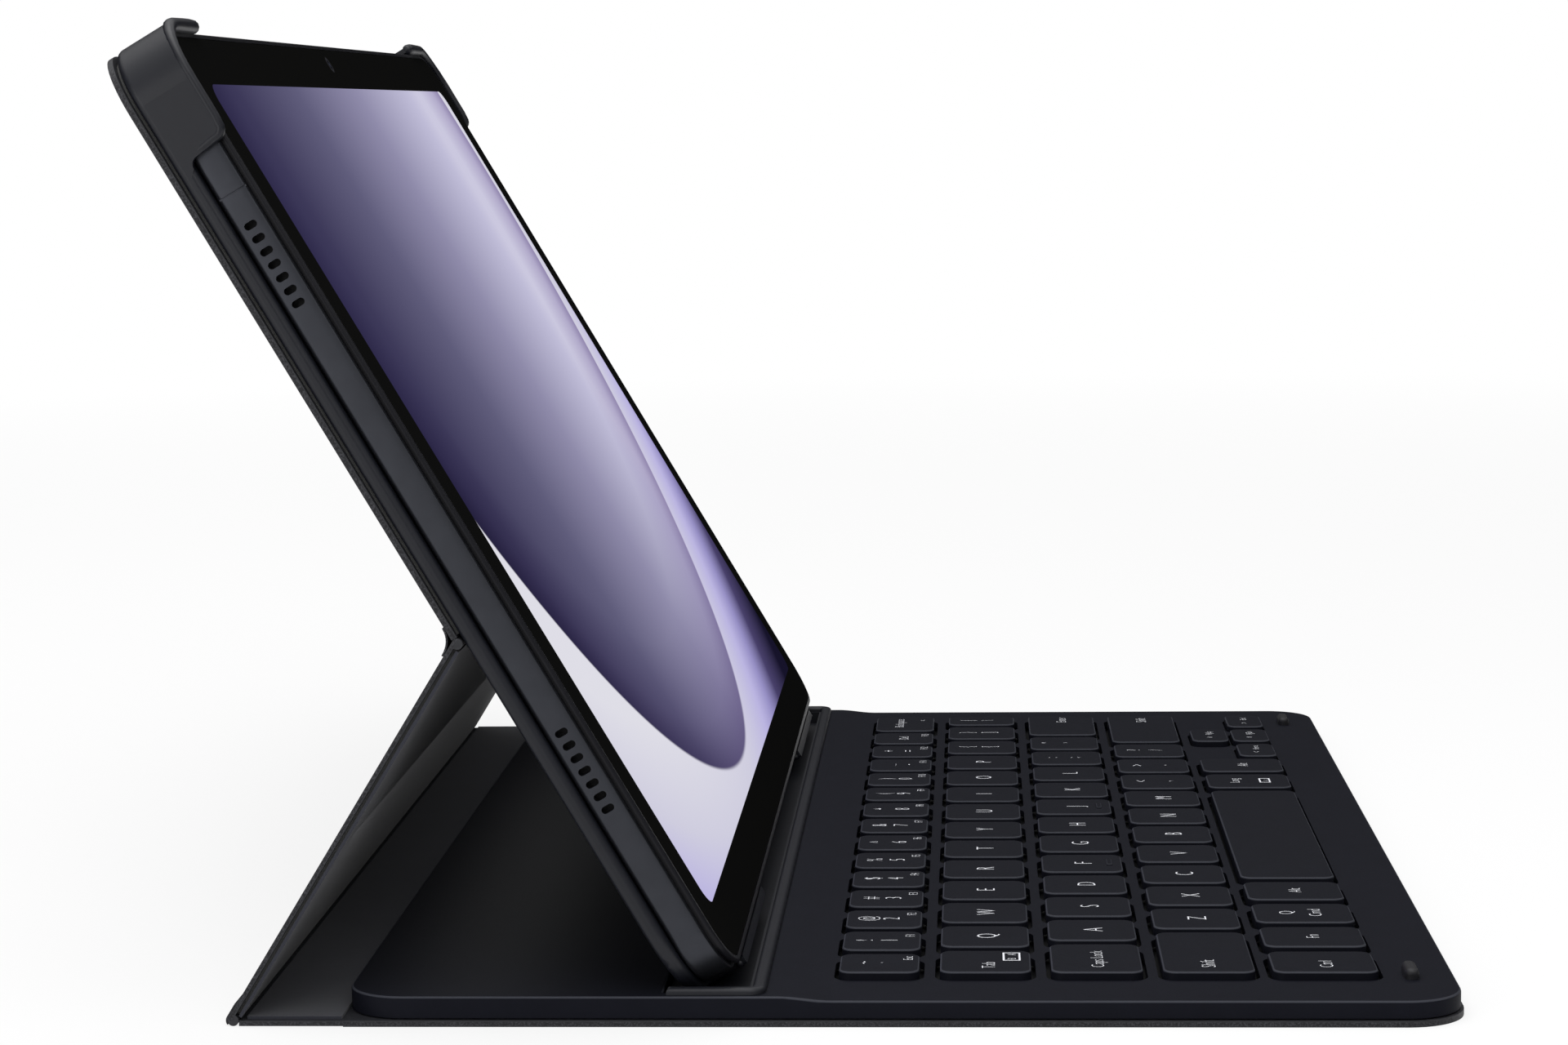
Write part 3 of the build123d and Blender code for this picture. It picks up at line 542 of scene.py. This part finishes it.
lens = ramp(tree, distance_from(tree, *lens_middle), 0.0, lens_radius,
            [(0.0, (0.050, 0.055, 0.080)), (0.30, (0.002, 0.002, 0.004)),
             (0.60, (0.030, 0.030, 0.034)), (0.80, (0.0050, 0.0050, 0.0048))])
tree.links.new(lens, shader.inputs["Base Color"])
dress("screen glass", "front_glass")
print("wallpaper on", round(2 * lit_half, 1), "by", lit_height, "mm")

# %% [markdown]
# ## Key legends
#
# The letters are pad-printed: a film of light ink on each cap. A text object gives the shape
# of a letter, and turning it into a mesh makes it an ordinary flat piece. All the letters of
# one key body are joined, so that they sink with their cap when it is pressed.

# %% Key places and what is printed on them
letters = {
    "keys_number_row": ["1!", "2@", "3#", "4$", "5%", "6^", "7&", "8*", "9(", "0)", "-_", "=+", ""],
    "keys_top_row": list("QWERTYUIOP") + ["[{", "]}"],
    "keys_home_row": list("ASDFGHJKL") + [";:", "'\""],
    "keys_bottom_row": list("ZXCVBNM") + [",<", ".>", "/?"],
}
row_left = {"keys_number_row": -101.7, "keys_top_row": -99.5,
            "keys_home_row": -95.1, "keys_bottom_row": -86.9}
row_pitch = {"keys_number_row": 15.42, "keys_top_row": 17.12,
             "keys_home_row": 17.12, "keys_bottom_row": 17.12}
row_cap = {"keys_number_row": 12.8, "keys_top_row": 14.4,
           "keys_home_row": 14.4, "keys_bottom_row": 14.4}

ink = finish("legend ink", (0.78, 0.79, 0.83), 0.50, grain=3000, bump=0.02, vary=0.06, specular=0.2)
cap_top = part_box("key_esc")[1].z
narrow = 0.84           # the type is a little narrower than the plain font
capital_share = 0.70    # height of a capital in that font, per unit of size
thinned = 0.018         # taken off each side of a stroke, per unit of size
ink_rise = 0.02         # the print above the cap, in millimetres


def printed(text, x, y, height):
    """One line of text, flat on the caps, with the middle of its capitals at x, y."""
    bpy.ops.object.select_all(action="DESELECT")
    bpy.ops.object.text_add(location=(0, 0, 0))
    line = bpy.context.object
    line.data.body = text
    line.data.size = height * MM / capital_share
    line.data.offset = -thinned * line.data.size
    line.data.align_x = "CENTER"
    line.data.align_y = "BOTTOM_BASELINE"
    line.data.resolution_u = 3
    bpy.ops.object.convert(target="MESH")
    line = bpy.context.object
    line.scale = (narrow, 1, 1)
    line.location = (x * MM, (y - height / 2) * MM, cap_top + ink_rise * MM)
    bpy.ops.object.transform_apply(location=True, rotation=False, scale=True)
    return line


def printed_frame(x, y, wide, deep, line_width):
    """A printed rectangle: a plane is inset by the line's width and the middle taken out."""
    bpy.ops.object.select_all(action="DESELECT")
    bpy.ops.mesh.primitive_plane_add(size=1, location=(x * MM, y * MM, cap_top + ink_rise * MM))
    shape = bpy.context.object
    shape.scale = (wide * MM, deep * MM, 1)
    bpy.ops.object.transform_apply(location=True, rotation=False, scale=True)
    bpy.ops.object.mode_set(mode="EDIT")
    bpy.ops.mesh.select_all(action="SELECT")
    bpy.ops.mesh.inset(thickness=line_width * MM, depth=0)
    bpy.ops.mesh.delete(type="FACE")
    bpy.ops.object.mode_set(mode="OBJECT")
    return shape


def join_as(name, lines):
    """Joins the prints of one key body into one inked piece."""
    bpy.ops.object.select_all(action="DESELECT")
    for line in lines:
        line.select_set(True)
    bpy.context.view_layer.objects.active = lines[0]
    if len(lines) > 1:
        bpy.ops.object.join()
    joined = bpy.context.object
    joined.name = name
    joined.data.name = name
    joined.data.materials.clear()
    joined.data.materials.append(ink)
    return joined


print("caps top at", round(cap_top / MM, 2), "mm")

# %% [markdown]
# A number key has its shifted sign at the rear, the number in front of it, and a small F
# label in the front right corner. A letter key has one letter in its middle.

# %% Print the rows of keys
for body, keys in letters.items():
    low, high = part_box(body)
    front, rear = low.y / MM, high.y / MM
    depth = rear - front
    lines = []
    for i, key in enumerate(keys):
        left = row_left[body] + row_pitch[body] * i
        middle = left + row_cap[body] / 2
        if len(key) == 2:
            lines.append(printed(key[1], middle, front + depth * 0.73, 2.9))
            lines.append(printed(key[0], middle, front + depth * 0.41, 2.9))
        elif key:
            lines.append(printed(key, middle, front + depth * 0.485, 3.3))
        else:
            lines.append(printed("Del", middle, front + depth * 0.5, 2.1))
        if body == "keys_number_row":
            corner = left + row_cap[body] * 0.76
            lines.append(printed(f"F{i + 1}", corner, front + depth * 0.145, 1.6))
    legend = join_as("legend_" + body, lines)
    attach(legend, body)
print(sum(len(keys) for keys in letters.values()), "keys printed in rows")

# %% [markdown]
# The long keys carry words towards their outer side, and the space bar stays blank.

# %% Print the single keys
words = {
    "key_esc": [("Esc", 0.74, 0.15, 1.6), ("~", 0.5, 0.72, 2.6), ("`", 0.5, 0.40, 2.6)],
    "key_backspace": [("Backspace", 0.52, 0.6, 2.0), ("<", 0.72, 0.2, 1.6)],
    "key_tab": [("Tab", 0.31, 0.47, 2.2), ("B", 0.60, 0.21, 1.4), ("A", 0.80, 0.21, 1.4)],
    "key_backslash": [("|", 0.5, 0.73, 2.9), ("\\", 0.5, 0.41, 2.9)],
    "key_caps_lock": [("Caps Lock", 0.45, 0.49, 2.1)],
    "key_enter": [("Enter", 0.78, 0.5, 2.2)],
    "key_shift_left": [("Shift", 0.20, 0.5, 2.3)],
    "key_shift_right": [("Shift", 0.82, 0.5, 2.3)],
    "key_ctrl": [("Ctrl", 0.37, 0.48, 2.2)],
    "key_fn": [("Fn", 0.5, 0.5, 2.2)],
    "key_command": [("Cmd", 0.5, 0.38, 2.2), ("Q", 0.5, 0.67, 2.4)],
    "key_alt_left": [("Alt", 0.5, 0.49, 2.2)],
    "key_language": [("Lang", 0.5, 0.67, 2.0), ("a", 0.5, 0.30, 1.2)],
    "key_alt_right": [("Alt", 0.5, 0.49, 2.2)],
    "key_arrow_left": [("<", 0.3, 0.52, 1.8), ("Home", 0.66, 0.5, 1.4)],
    "key_arrow_up": [("^", 0.3, 0.45, 2.0), ("PgUp", 0.66, 0.5, 1.4)],
    "key_arrow_down": [("v", 0.3, 0.58, 2.0), ("PgDn", 0.66, 0.5, 1.4)],
    "key_arrow_right": [(">", 0.3, 0.52, 1.8), ("End", 0.66, 0.5, 1.4)],
}
icons = {"key_tab": (0.70, 0.21, 5.2, 2.8), "key_language": (0.5, 0.30, 4.2, 2.2)}
icon_line = 0.3


def spot(low, high, right, rear):
    """A place on a cap, from shares of its width and depth, in millimetres."""
    return (low.x + (high.x - low.x) * right) / MM, (low.y + (high.y - low.y) * rear) / MM


for body, lines in words.items():
    low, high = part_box(body)
    made = [printed(text, *spot(low, high, right, rear), size)
            for text, right, rear, size in lines]
    if body in icons:
        right, rear, wide, deep = icons[body]
        made.append(printed_frame(*spot(low, high, right, rear), wide, deep, icon_line))
    legend = join_as("legend_" + body, made)
    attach(legend, body)
print(len(words), "single keys printed")

# %% [markdown]
# A typist finds the home keys by touch, from a low bar moulded near the front of F and J. The
# bar is a block whose edges are bevelled round, and the second one is a copy of the first.

# %% Bars on the two home keys
home = "keys_home_row"
low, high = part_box(home)
bar_size = (4.2, 1.0, 0.30)
bar_in, bar_rise, bar_round = 2.3, 0.1, 0.14      # from the cap's front edge, and above its top
bars = []
for count in (3, 6):
    middle = row_left[home] + row_pitch[home] * count + row_cap[home] / 2
    place = (middle * MM, low.y + bar_in * MM, cap_top + bar_rise * MM)
    bpy.ops.object.select_all(action="DESELECT")
    bpy.ops.mesh.primitive_cube_add(size=1, location=place)
    bar = bpy.context.object
    bar.scale = Vector(bar_size) * MM
    bpy.ops.object.transform_apply(location=True, rotation=False, scale=True)
    bpy.ops.object.mode_set(mode="EDIT")
    bpy.ops.mesh.select_all(action="SELECT")
    bpy.ops.mesh.bevel(offset=bar_round * MM, segments=2, affect="EDGES")
    bpy.ops.object.mode_set(mode="OBJECT")
    bars.append(bar)
bpy.ops.object.select_all(action="DESELECT")
for bar in bars:
    bar.select_set(True)
bpy.context.view_layer.objects.active = bars[0]
bpy.ops.object.join()
marks = bpy.context.object
marks.name = marks.data.name = "home_marks"
marks.data.materials.clear()
marks.data.materials.append(bpy.data.materials["key plastic"])
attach(marks, home)
print("home marks", len(marks.data.polygons), "faces")

# %% [markdown]
# ## Rolled edges of the tray
#
# The two upper corner walls end in a rolled lip, moulded on so that it can be stretched over
# the tablet's corners. Each lip climbs from the low rail, runs up the side, turns the corner
# and ends on the top edge. It is a tube: one ring is laid across the route at every
# point, and a bridge joins the rings in turn. The ends are filled and rounded by smaller rings.

# %% A helper for rolled edges
def tube(name, route, radii):
    """A closed tube through the points of a route, made of rings joined by a bridge."""
    rings = []
    for i, (place, radius) in enumerate(zip(route, radii)):
        ahead = route[min(i + 1, len(route) - 1)] - route[max(i - 1, 0)]
        bpy.ops.object.select_all(action="DESELECT")
        bpy.ops.mesh.primitive_circle_add(vertices=12, radius=radius * MM, location=place,
                                          rotation=ahead.to_track_quat("Z", "Y").to_euler())
        rings.append(bpy.context.object)
    bpy.ops.object.select_all(action="DESELECT")
    for ring in rings:
        ring.select_set(True)
    bpy.context.view_layer.objects.active = rings[0]
    bpy.ops.object.join()
    bpy.ops.object.transform_apply(location=True, rotation=True, scale=True)
    bpy.ops.object.mode_set(mode="EDIT")
    bpy.ops.mesh.select_all(action="SELECT")
    bpy.ops.mesh.bridge_edge_loops()
    bpy.ops.mesh.select_all(action="SELECT")
    bpy.ops.mesh.fill_holes(sides=0)
    bpy.ops.mesh.select_all(action="SELECT")
    bpy.ops.mesh.normals_make_consistent(inside=False)
    bpy.ops.object.mode_set(mode="OBJECT")
    made = bpy.context.object
    made.name = made.data.name = name
    bpy.ops.object.shade_smooth()
    made.data.materials.clear()
    made.data.materials.append(bpy.data.materials["tray plastic"])
    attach(made, "tray")
    return made


print("tube helper ready")

# %% [markdown]
# The lip's route is a few stretches: a climb up the step, a tight quarter turn, a straight
# side, a wide quarter turn round the corner and a straight top. Mirroring the sideways part
# gives the other corner.

# %% Lips round the upper corners
lip_radius = 0.78
tray_head, lip_inset = 159.05, 0.65
lip_side = half_case - lip_inset
lip_head = tray_head - lip_inset
lip_turn = 9.2
lip_depth = 0.15
step_foot, step_lean, step_turn = 139.2, 0.5, 1.3
for label, hand in (("left", -1), ("right", 1)):
    route = [on_screen(hand * lip_side, step_foot + step_lean * share, depth)
             for share, depth in ((0.0, -6.3), (0.2, -5.2), (0.5, -3.6), (1.0, -1.9))]
    for i in range(1, 6):
        turn = math.radians(90 * i / 6)
        height = step_foot + step_lean + step_turn * (1 - math.cos(turn))
        depth = lip_depth - step_turn * (1 - math.sin(turn)) - 0.1
        route.append(on_screen(hand * lip_side, height, depth))
    for height in (142.5, 146.0):
        route.append(on_screen(hand * lip_side, height, lip_depth))
    for i in range(9):
        turn = math.radians(90 * i / 8)
        route.append(on_screen(hand * (lip_side - lip_turn + lip_turn * math.cos(turn)),
                               lip_head - lip_turn + lip_turn * math.sin(turn), lip_depth))
    for x in (116.0, 112.0, 108.0, 105.8, 105.2, 104.9):
        route.append(on_screen(hand * x, lip_head, lip_depth))
    radii = [0.35, 0.6] + [lip_radius] * (len(route) - 13) + [0.85, 0.92, 1.0, 1.08, 1.15]
    radii += [1.2, 1.25, 1.25, 1.15, 0.9, 0.4]
    lip = tube("corner_lip_" + label, route, radii)
    print(lip.name, len(lip.data.polygons), "faces")

# %% [markdown]
# Two rounded bars hold the tablet's lower edge. They stand a little proud of the tray's foot,
# and their ends taper like the end of a crayon.

# %% Bars that hold the tablet's foot
bar_height, bar_depth = -10.95, -1.75
bar_stops = (63.6, 64.2, 66.0, 68.5, 80.0, 98.0, 109.5, 112.0, 113.8, 114.4)
bar_radii = (0.35, 0.7, 0.95, 1.08, 1.1, 1.1, 1.08, 0.95, 0.7, 0.35)
for label, hand in (("left", -1), ("right", 1)):
    route = [on_screen(hand * x, bar_height, bar_depth) for x in bar_stops]
    bar = tube("foot_bar_" + label, route, bar_radii)
    print(bar.name, len(bar.data.polygons), "faces")

# %% [markdown]
# ## The leather round the folds
#
# Between the stiff panels the faux leather runs on round each fold, so that the outside of the
# case is one skin. Each strip is a thin band bent along the fold line: a plane as wide as the
# case is cut down to its front edge, that edge is extruded step by step round the fold, and a
# Solidify modifier gives the skin's thickness. It follows one panel at its start, the other
# at its end, and turns between them.

# %% A helper for the strips
def fold_strip(name, route, thickness):
    """A bent band through the points of a route, as wide as the case, across one fold."""
    half = (half_case - 0.1) * MM
    bpy.ops.object.select_all(action="DESELECT")
    bpy.ops.mesh.primitive_plane_add(size=2 * half, location=route[0] + Vector((0, half, 0)))
    band = bpy.context.object
    band.name = band.data.name = name
    bpy.ops.object.transform_apply(location=True, rotation=False, scale=False)
    bpy.ops.object.mode_set(mode="EDIT")
    bpy.ops.mesh.select_all(action="DESELECT")
    bpy.ops.object.mode_set(mode="OBJECT")
    for vertex in band.data.vertices:
        vertex.select = vertex.co.y > route[0].y + half
    bpy.ops.object.mode_set(mode="EDIT")
    bpy.ops.mesh.delete(type="VERT")
    bpy.ops.mesh.select_all(action="SELECT")
    for last, place in zip(route, route[1:]):
        bpy.ops.mesh.extrude_region_move(TRANSFORM_OT_translate={"value": place - last})
    bpy.ops.mesh.select_all(action="SELECT")
    bpy.ops.mesh.normals_make_consistent(inside=False)
    bpy.ops.object.mode_set(mode="OBJECT")
    skin = band.modifiers.new("skin", "SOLIDIFY")
    skin.thickness = thickness * MM
    skin.offset = 0.0
    bpy.ops.object.modifier_apply(modifier=skin.name)
    bpy.ops.object.shade_smooth_by_angle(angle=math.radians(40))
    band.data.materials.clear()
    band.data.materials.append(bpy.data.materials["fold leather"])
    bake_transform(band)
    return band


leather("fold leather", Vector((0, 0, -50)) * MM, Vector((0, 0, 1)), 200 * MM)
print("strip helper ready")

# %% [markdown]
# The lower fold stands on the table behind the kickstand. The strip goes round the kickstand's
# rounded foot and ends on its outer face. At the upper fold the outside of the case is the
# hollow side of the bend, so there the strip runs up the kickstand and turns off along the
# back panel. Its turn is a curve of three points: both ends, and the place where the two outer
# faces would meet.

# %% Strips round the lower and the upper fold
strip_skin = 0.28
reach = 0.85 + strip_skin / 2 + 0.03      # middle of the strip, from the fold's line
start_turn = math.radians(-36)
end_turn = math.atan2(-kick_in.z, -kick_in.y)
lower = []
for i in range(9):
    turn = start_turn + (end_turn - start_turn) * i / 8
    lower.append(fold_2 + Vector((0, math.cos(turn), math.sin(turn))) * reach * MM)
lower.append(on_kick(0, 2.4, -reach))
lower_strip = fold_strip("fold_strip_lower", lower, strip_skin)

panel_reach = 0.62
meeting = (1 - panel_reach / reach * kick_in.dot(out)) / (1 - kick_in.dot(out) ** 2) * reach
beside = panel_reach - meeting * kick_in.dot(out)
corner = fold_3 - (kick_in * meeting + out * beside) * MM
below = fold_3 - (kick_along * 2.8 + kick_in * reach) * MM
above = fold_3 + (along * 3.2 - out * panel_reach) * MM
upper = []
for i in range(9):
    share = i / 8
    upper.append(below * (1 - share) ** 2 + corner * 2 * share * (1 - share) + above * share ** 2)
upper_strip = fold_strip("fold_strip_upper", upper, strip_skin)
print("strips", len(lower_strip.data.polygons), len(upper_strip.data.polygons), "faces")

# %% [markdown]
# ## Camera and light
#
# The camera stands on the user's left, a little above the deck, with a long lens. Its place is
# measured from the middle of the screen's lower edge, and its three directions come from a yaw,
# a pitch and a small roll, built into one matrix.

# %% Camera
yaw, pitch, roll = (math.radians(v) for v in (3.11305, 6.65213, -0.76432))
forward = Vector((math.cos(pitch) * math.cos(yaw), math.cos(pitch) * math.sin(yaw),
                  -math.sin(pitch)))
right = forward.cross(Vector((0, 0, 1))).normalized()
up = right.cross(forward)
right, up = (right * math.cos(roll) + up * math.sin(roll),
             up * math.cos(roll) - right * math.sin(roll))
bpy.ops.object.camera_add()
camera = bpy.context.object
camera.data.lens = 80.93
camera.data.sensor_width = 36.0
camera.data.clip_start = 0.01
camera.data.clip_end = 50.0
turn = Matrix((right, up, -forward)).transposed().to_4x4()
camera_place = screen_corner + Vector((-654.481, -41.353, 122.577)) * MM
camera.matrix_world = Matrix.Translation(camera_place) @ turn
bpy.context.scene.camera = camera
print("camera at", [round(v, 4) for v in camera.matrix_world.translation])

# %% [markdown]
# The light is soft and comes from all round. One large panel hangs overhead, one stands on the
# camera's side and one low at the rear, and they draw the bright lines on the rounded edges,
# which the painted edge highlight on the deck and caps makes stronger. A weak strip tucked
# behind the tablet lifts the shade there. The background is at full strength only for rays
# that see it, and at half for the rest, so that it lights the dark parts less.

# %% World and lamps
scene = bpy.context.scene
scene.view_settings.view_transform = "Standard"
world = bpy.data.worlds.new("studio")
scene.world = world
world.use_nodes = True
tree = world.node_tree
path = tree.nodes.new("ShaderNodeLightPath")
seen = math_node(tree, "MAXIMUM", path.outputs["Is Camera Ray"], path.outputs["Is Glossy Ray"])
seen = math_node(tree, "MAXIMUM", seen, path.outputs["Is Transmission Ray"])
strength = math_node(tree, "ADD", math_node(tree, "MULTIPLY", seen, 0.5), 0.5)
tree.links.new(strength, tree.nodes["Background"].inputs["Strength"])
tree.nodes["Background"].inputs["Color"].default_value = (1, 1, 1, 1)


def panel_light(name, place, target, size, power):
    """A rectangular lamp that faces its target."""
    lamp = bpy.data.lights.new(name, "AREA")
    lamp.shape = "RECTANGLE"
    lamp.size, lamp.size_y = size
    lamp.energy = power
    holder = bpy.data.objects.new(name, lamp)
    scene.collection.objects.link(holder)
    holder.location = place
    holder.rotation_euler = (Vector(target) - Vector(place)).to_track_quat("-Z", "Y").to_euler()
    return holder


panel_light("overhead panel", (-0.1, 0.2, 1.1), (0, 0.05, 0), (1.2, 0.8), 9.0)
panel_light("camera side panel", (-1.1, -0.3, 0.9), (0, 0.0, 0.08), (0.8, 0.6), 4.0)
panel_light("low rear panel", (-0.75, 0.50, 0.22), (0, 0.07, 0.02), (0.5, 0.3), 1.6)
strip_place = on_kick(0, 36, 6)
tent_strip = panel_light("strip behind the tablet", strip_place,
                         strip_place - Vector((0, 0, 1)), (0.24, 0.03), 0.011)
tent_strip.visible_camera = False
print("lamps set")

# %% [markdown]
# The floor is a large pale sheet. For the camera it is mostly white by itself, and wholly so
# far away, where it meets the white world. The rest is ordinary lit paper, so the shadow under
# the case stays.

# %% Floor
bpy.ops.object.select_all(action="DESELECT")
bpy.ops.mesh.primitive_circle_add(vertices=96, radius=6.0, fill_type="NGON", location=(0, 0, 0))
floor = bpy.context.object
floor.name = "floor"
paper = bpy.data.materials.new("floor paper")
paper.use_nodes = True
tree = paper.node_tree
shader = tree.nodes["Principled BSDF"]
shader.inputs["Base Color"].default_value = (0.85, 0.85, 0.85, 1)
shader.inputs["Roughness"].default_value = 0.9
shader.inputs["Specular IOR Level"].default_value = 0.0
glow = tree.nodes.new("ShaderNodeEmission")
path = tree.nodes.new("ShaderNodeLightPath")
seen = math_node(tree, "MAXIMUM", path.outputs["Is Camera Ray"], path.outputs["Is Glossy Ray"])
mixed = tree.nodes.new("ShaderNodeMixShader")
place = tree.nodes.new("ShaderNodeTexCoord")
span = tree.nodes.new("ShaderNodeVectorMath")
span.operation = "LENGTH"
tree.links.new(place.outputs["Object"], span.inputs[0])
fade = tree.nodes.new("ShaderNodeMapRange")
fade.inputs["From Min"].default_value = 0.25
fade.inputs["From Max"].default_value = 1.2
fade.inputs["To Min"].default_value = 0.75
fade.inputs["To Max"].default_value = 1.0
tree.links.new(span.outputs["Value"], fade.inputs["Value"])
tree.links.new(math_node(tree, "MULTIPLY", seen, fade.outputs["Result"]), mixed.inputs["Fac"])
tree.links.new(shader.outputs["BSDF"], mixed.inputs[1])
tree.links.new(glow.outputs["Emission"], mixed.inputs[2])
tree.links.new(mixed.outputs["Shader"], tree.nodes["Material Output"].inputs["Surface"])
floor.data.materials.append(paper)
floor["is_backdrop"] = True
print("floor laid")

# %% [markdown]
# Seen at a low angle, even matte plastic mirrors what stands behind it. A studio puts
# black cards there, called flags, so that dark things stay dark. This flag is a ring round the
# whole set. Only reflections see it, so it casts no shadow and takes no light away.

# %% Flags
bpy.ops.object.select_all(action="DESELECT")
ring_radius, ring_height = 2.2, 1.3
bpy.ops.mesh.primitive_cylinder_add(vertices=64, radius=ring_radius, depth=ring_height,
                                    end_fill_type="NOTHING", location=(0, 0, ring_height / 2))
flag = bpy.context.object
flag.name = "flag_ring"
card = bpy.data.materials.new("black card")
card.use_nodes = True
shader = card.node_tree.nodes["Principled BSDF"]
shader.inputs["Base Color"].default_value = (0.01, 0.01, 0.01, 1)
shader.inputs["Specular IOR Level"].default_value = 0.0
flag.data.materials.append(card)
for ray in ("camera", "diffuse", "transmission", "volume_scatter", "shadow"):
    setattr(flag, "visible_" + ray, False)
flag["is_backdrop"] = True
print("flag ring set")

# %% [markdown]
# ## Sizes
#
# The last cell prints how far the new pieces reach past the frame's own box, in millimetres on
# each side, and closes the script.

# %% Sizes and finish
visual_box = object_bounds()
grown = [round(abs(a - b) / MM, 2)
         for c, v in zip(cad_box, visual_box) for a, b in zip(c, v)]
print("grown by", grown)
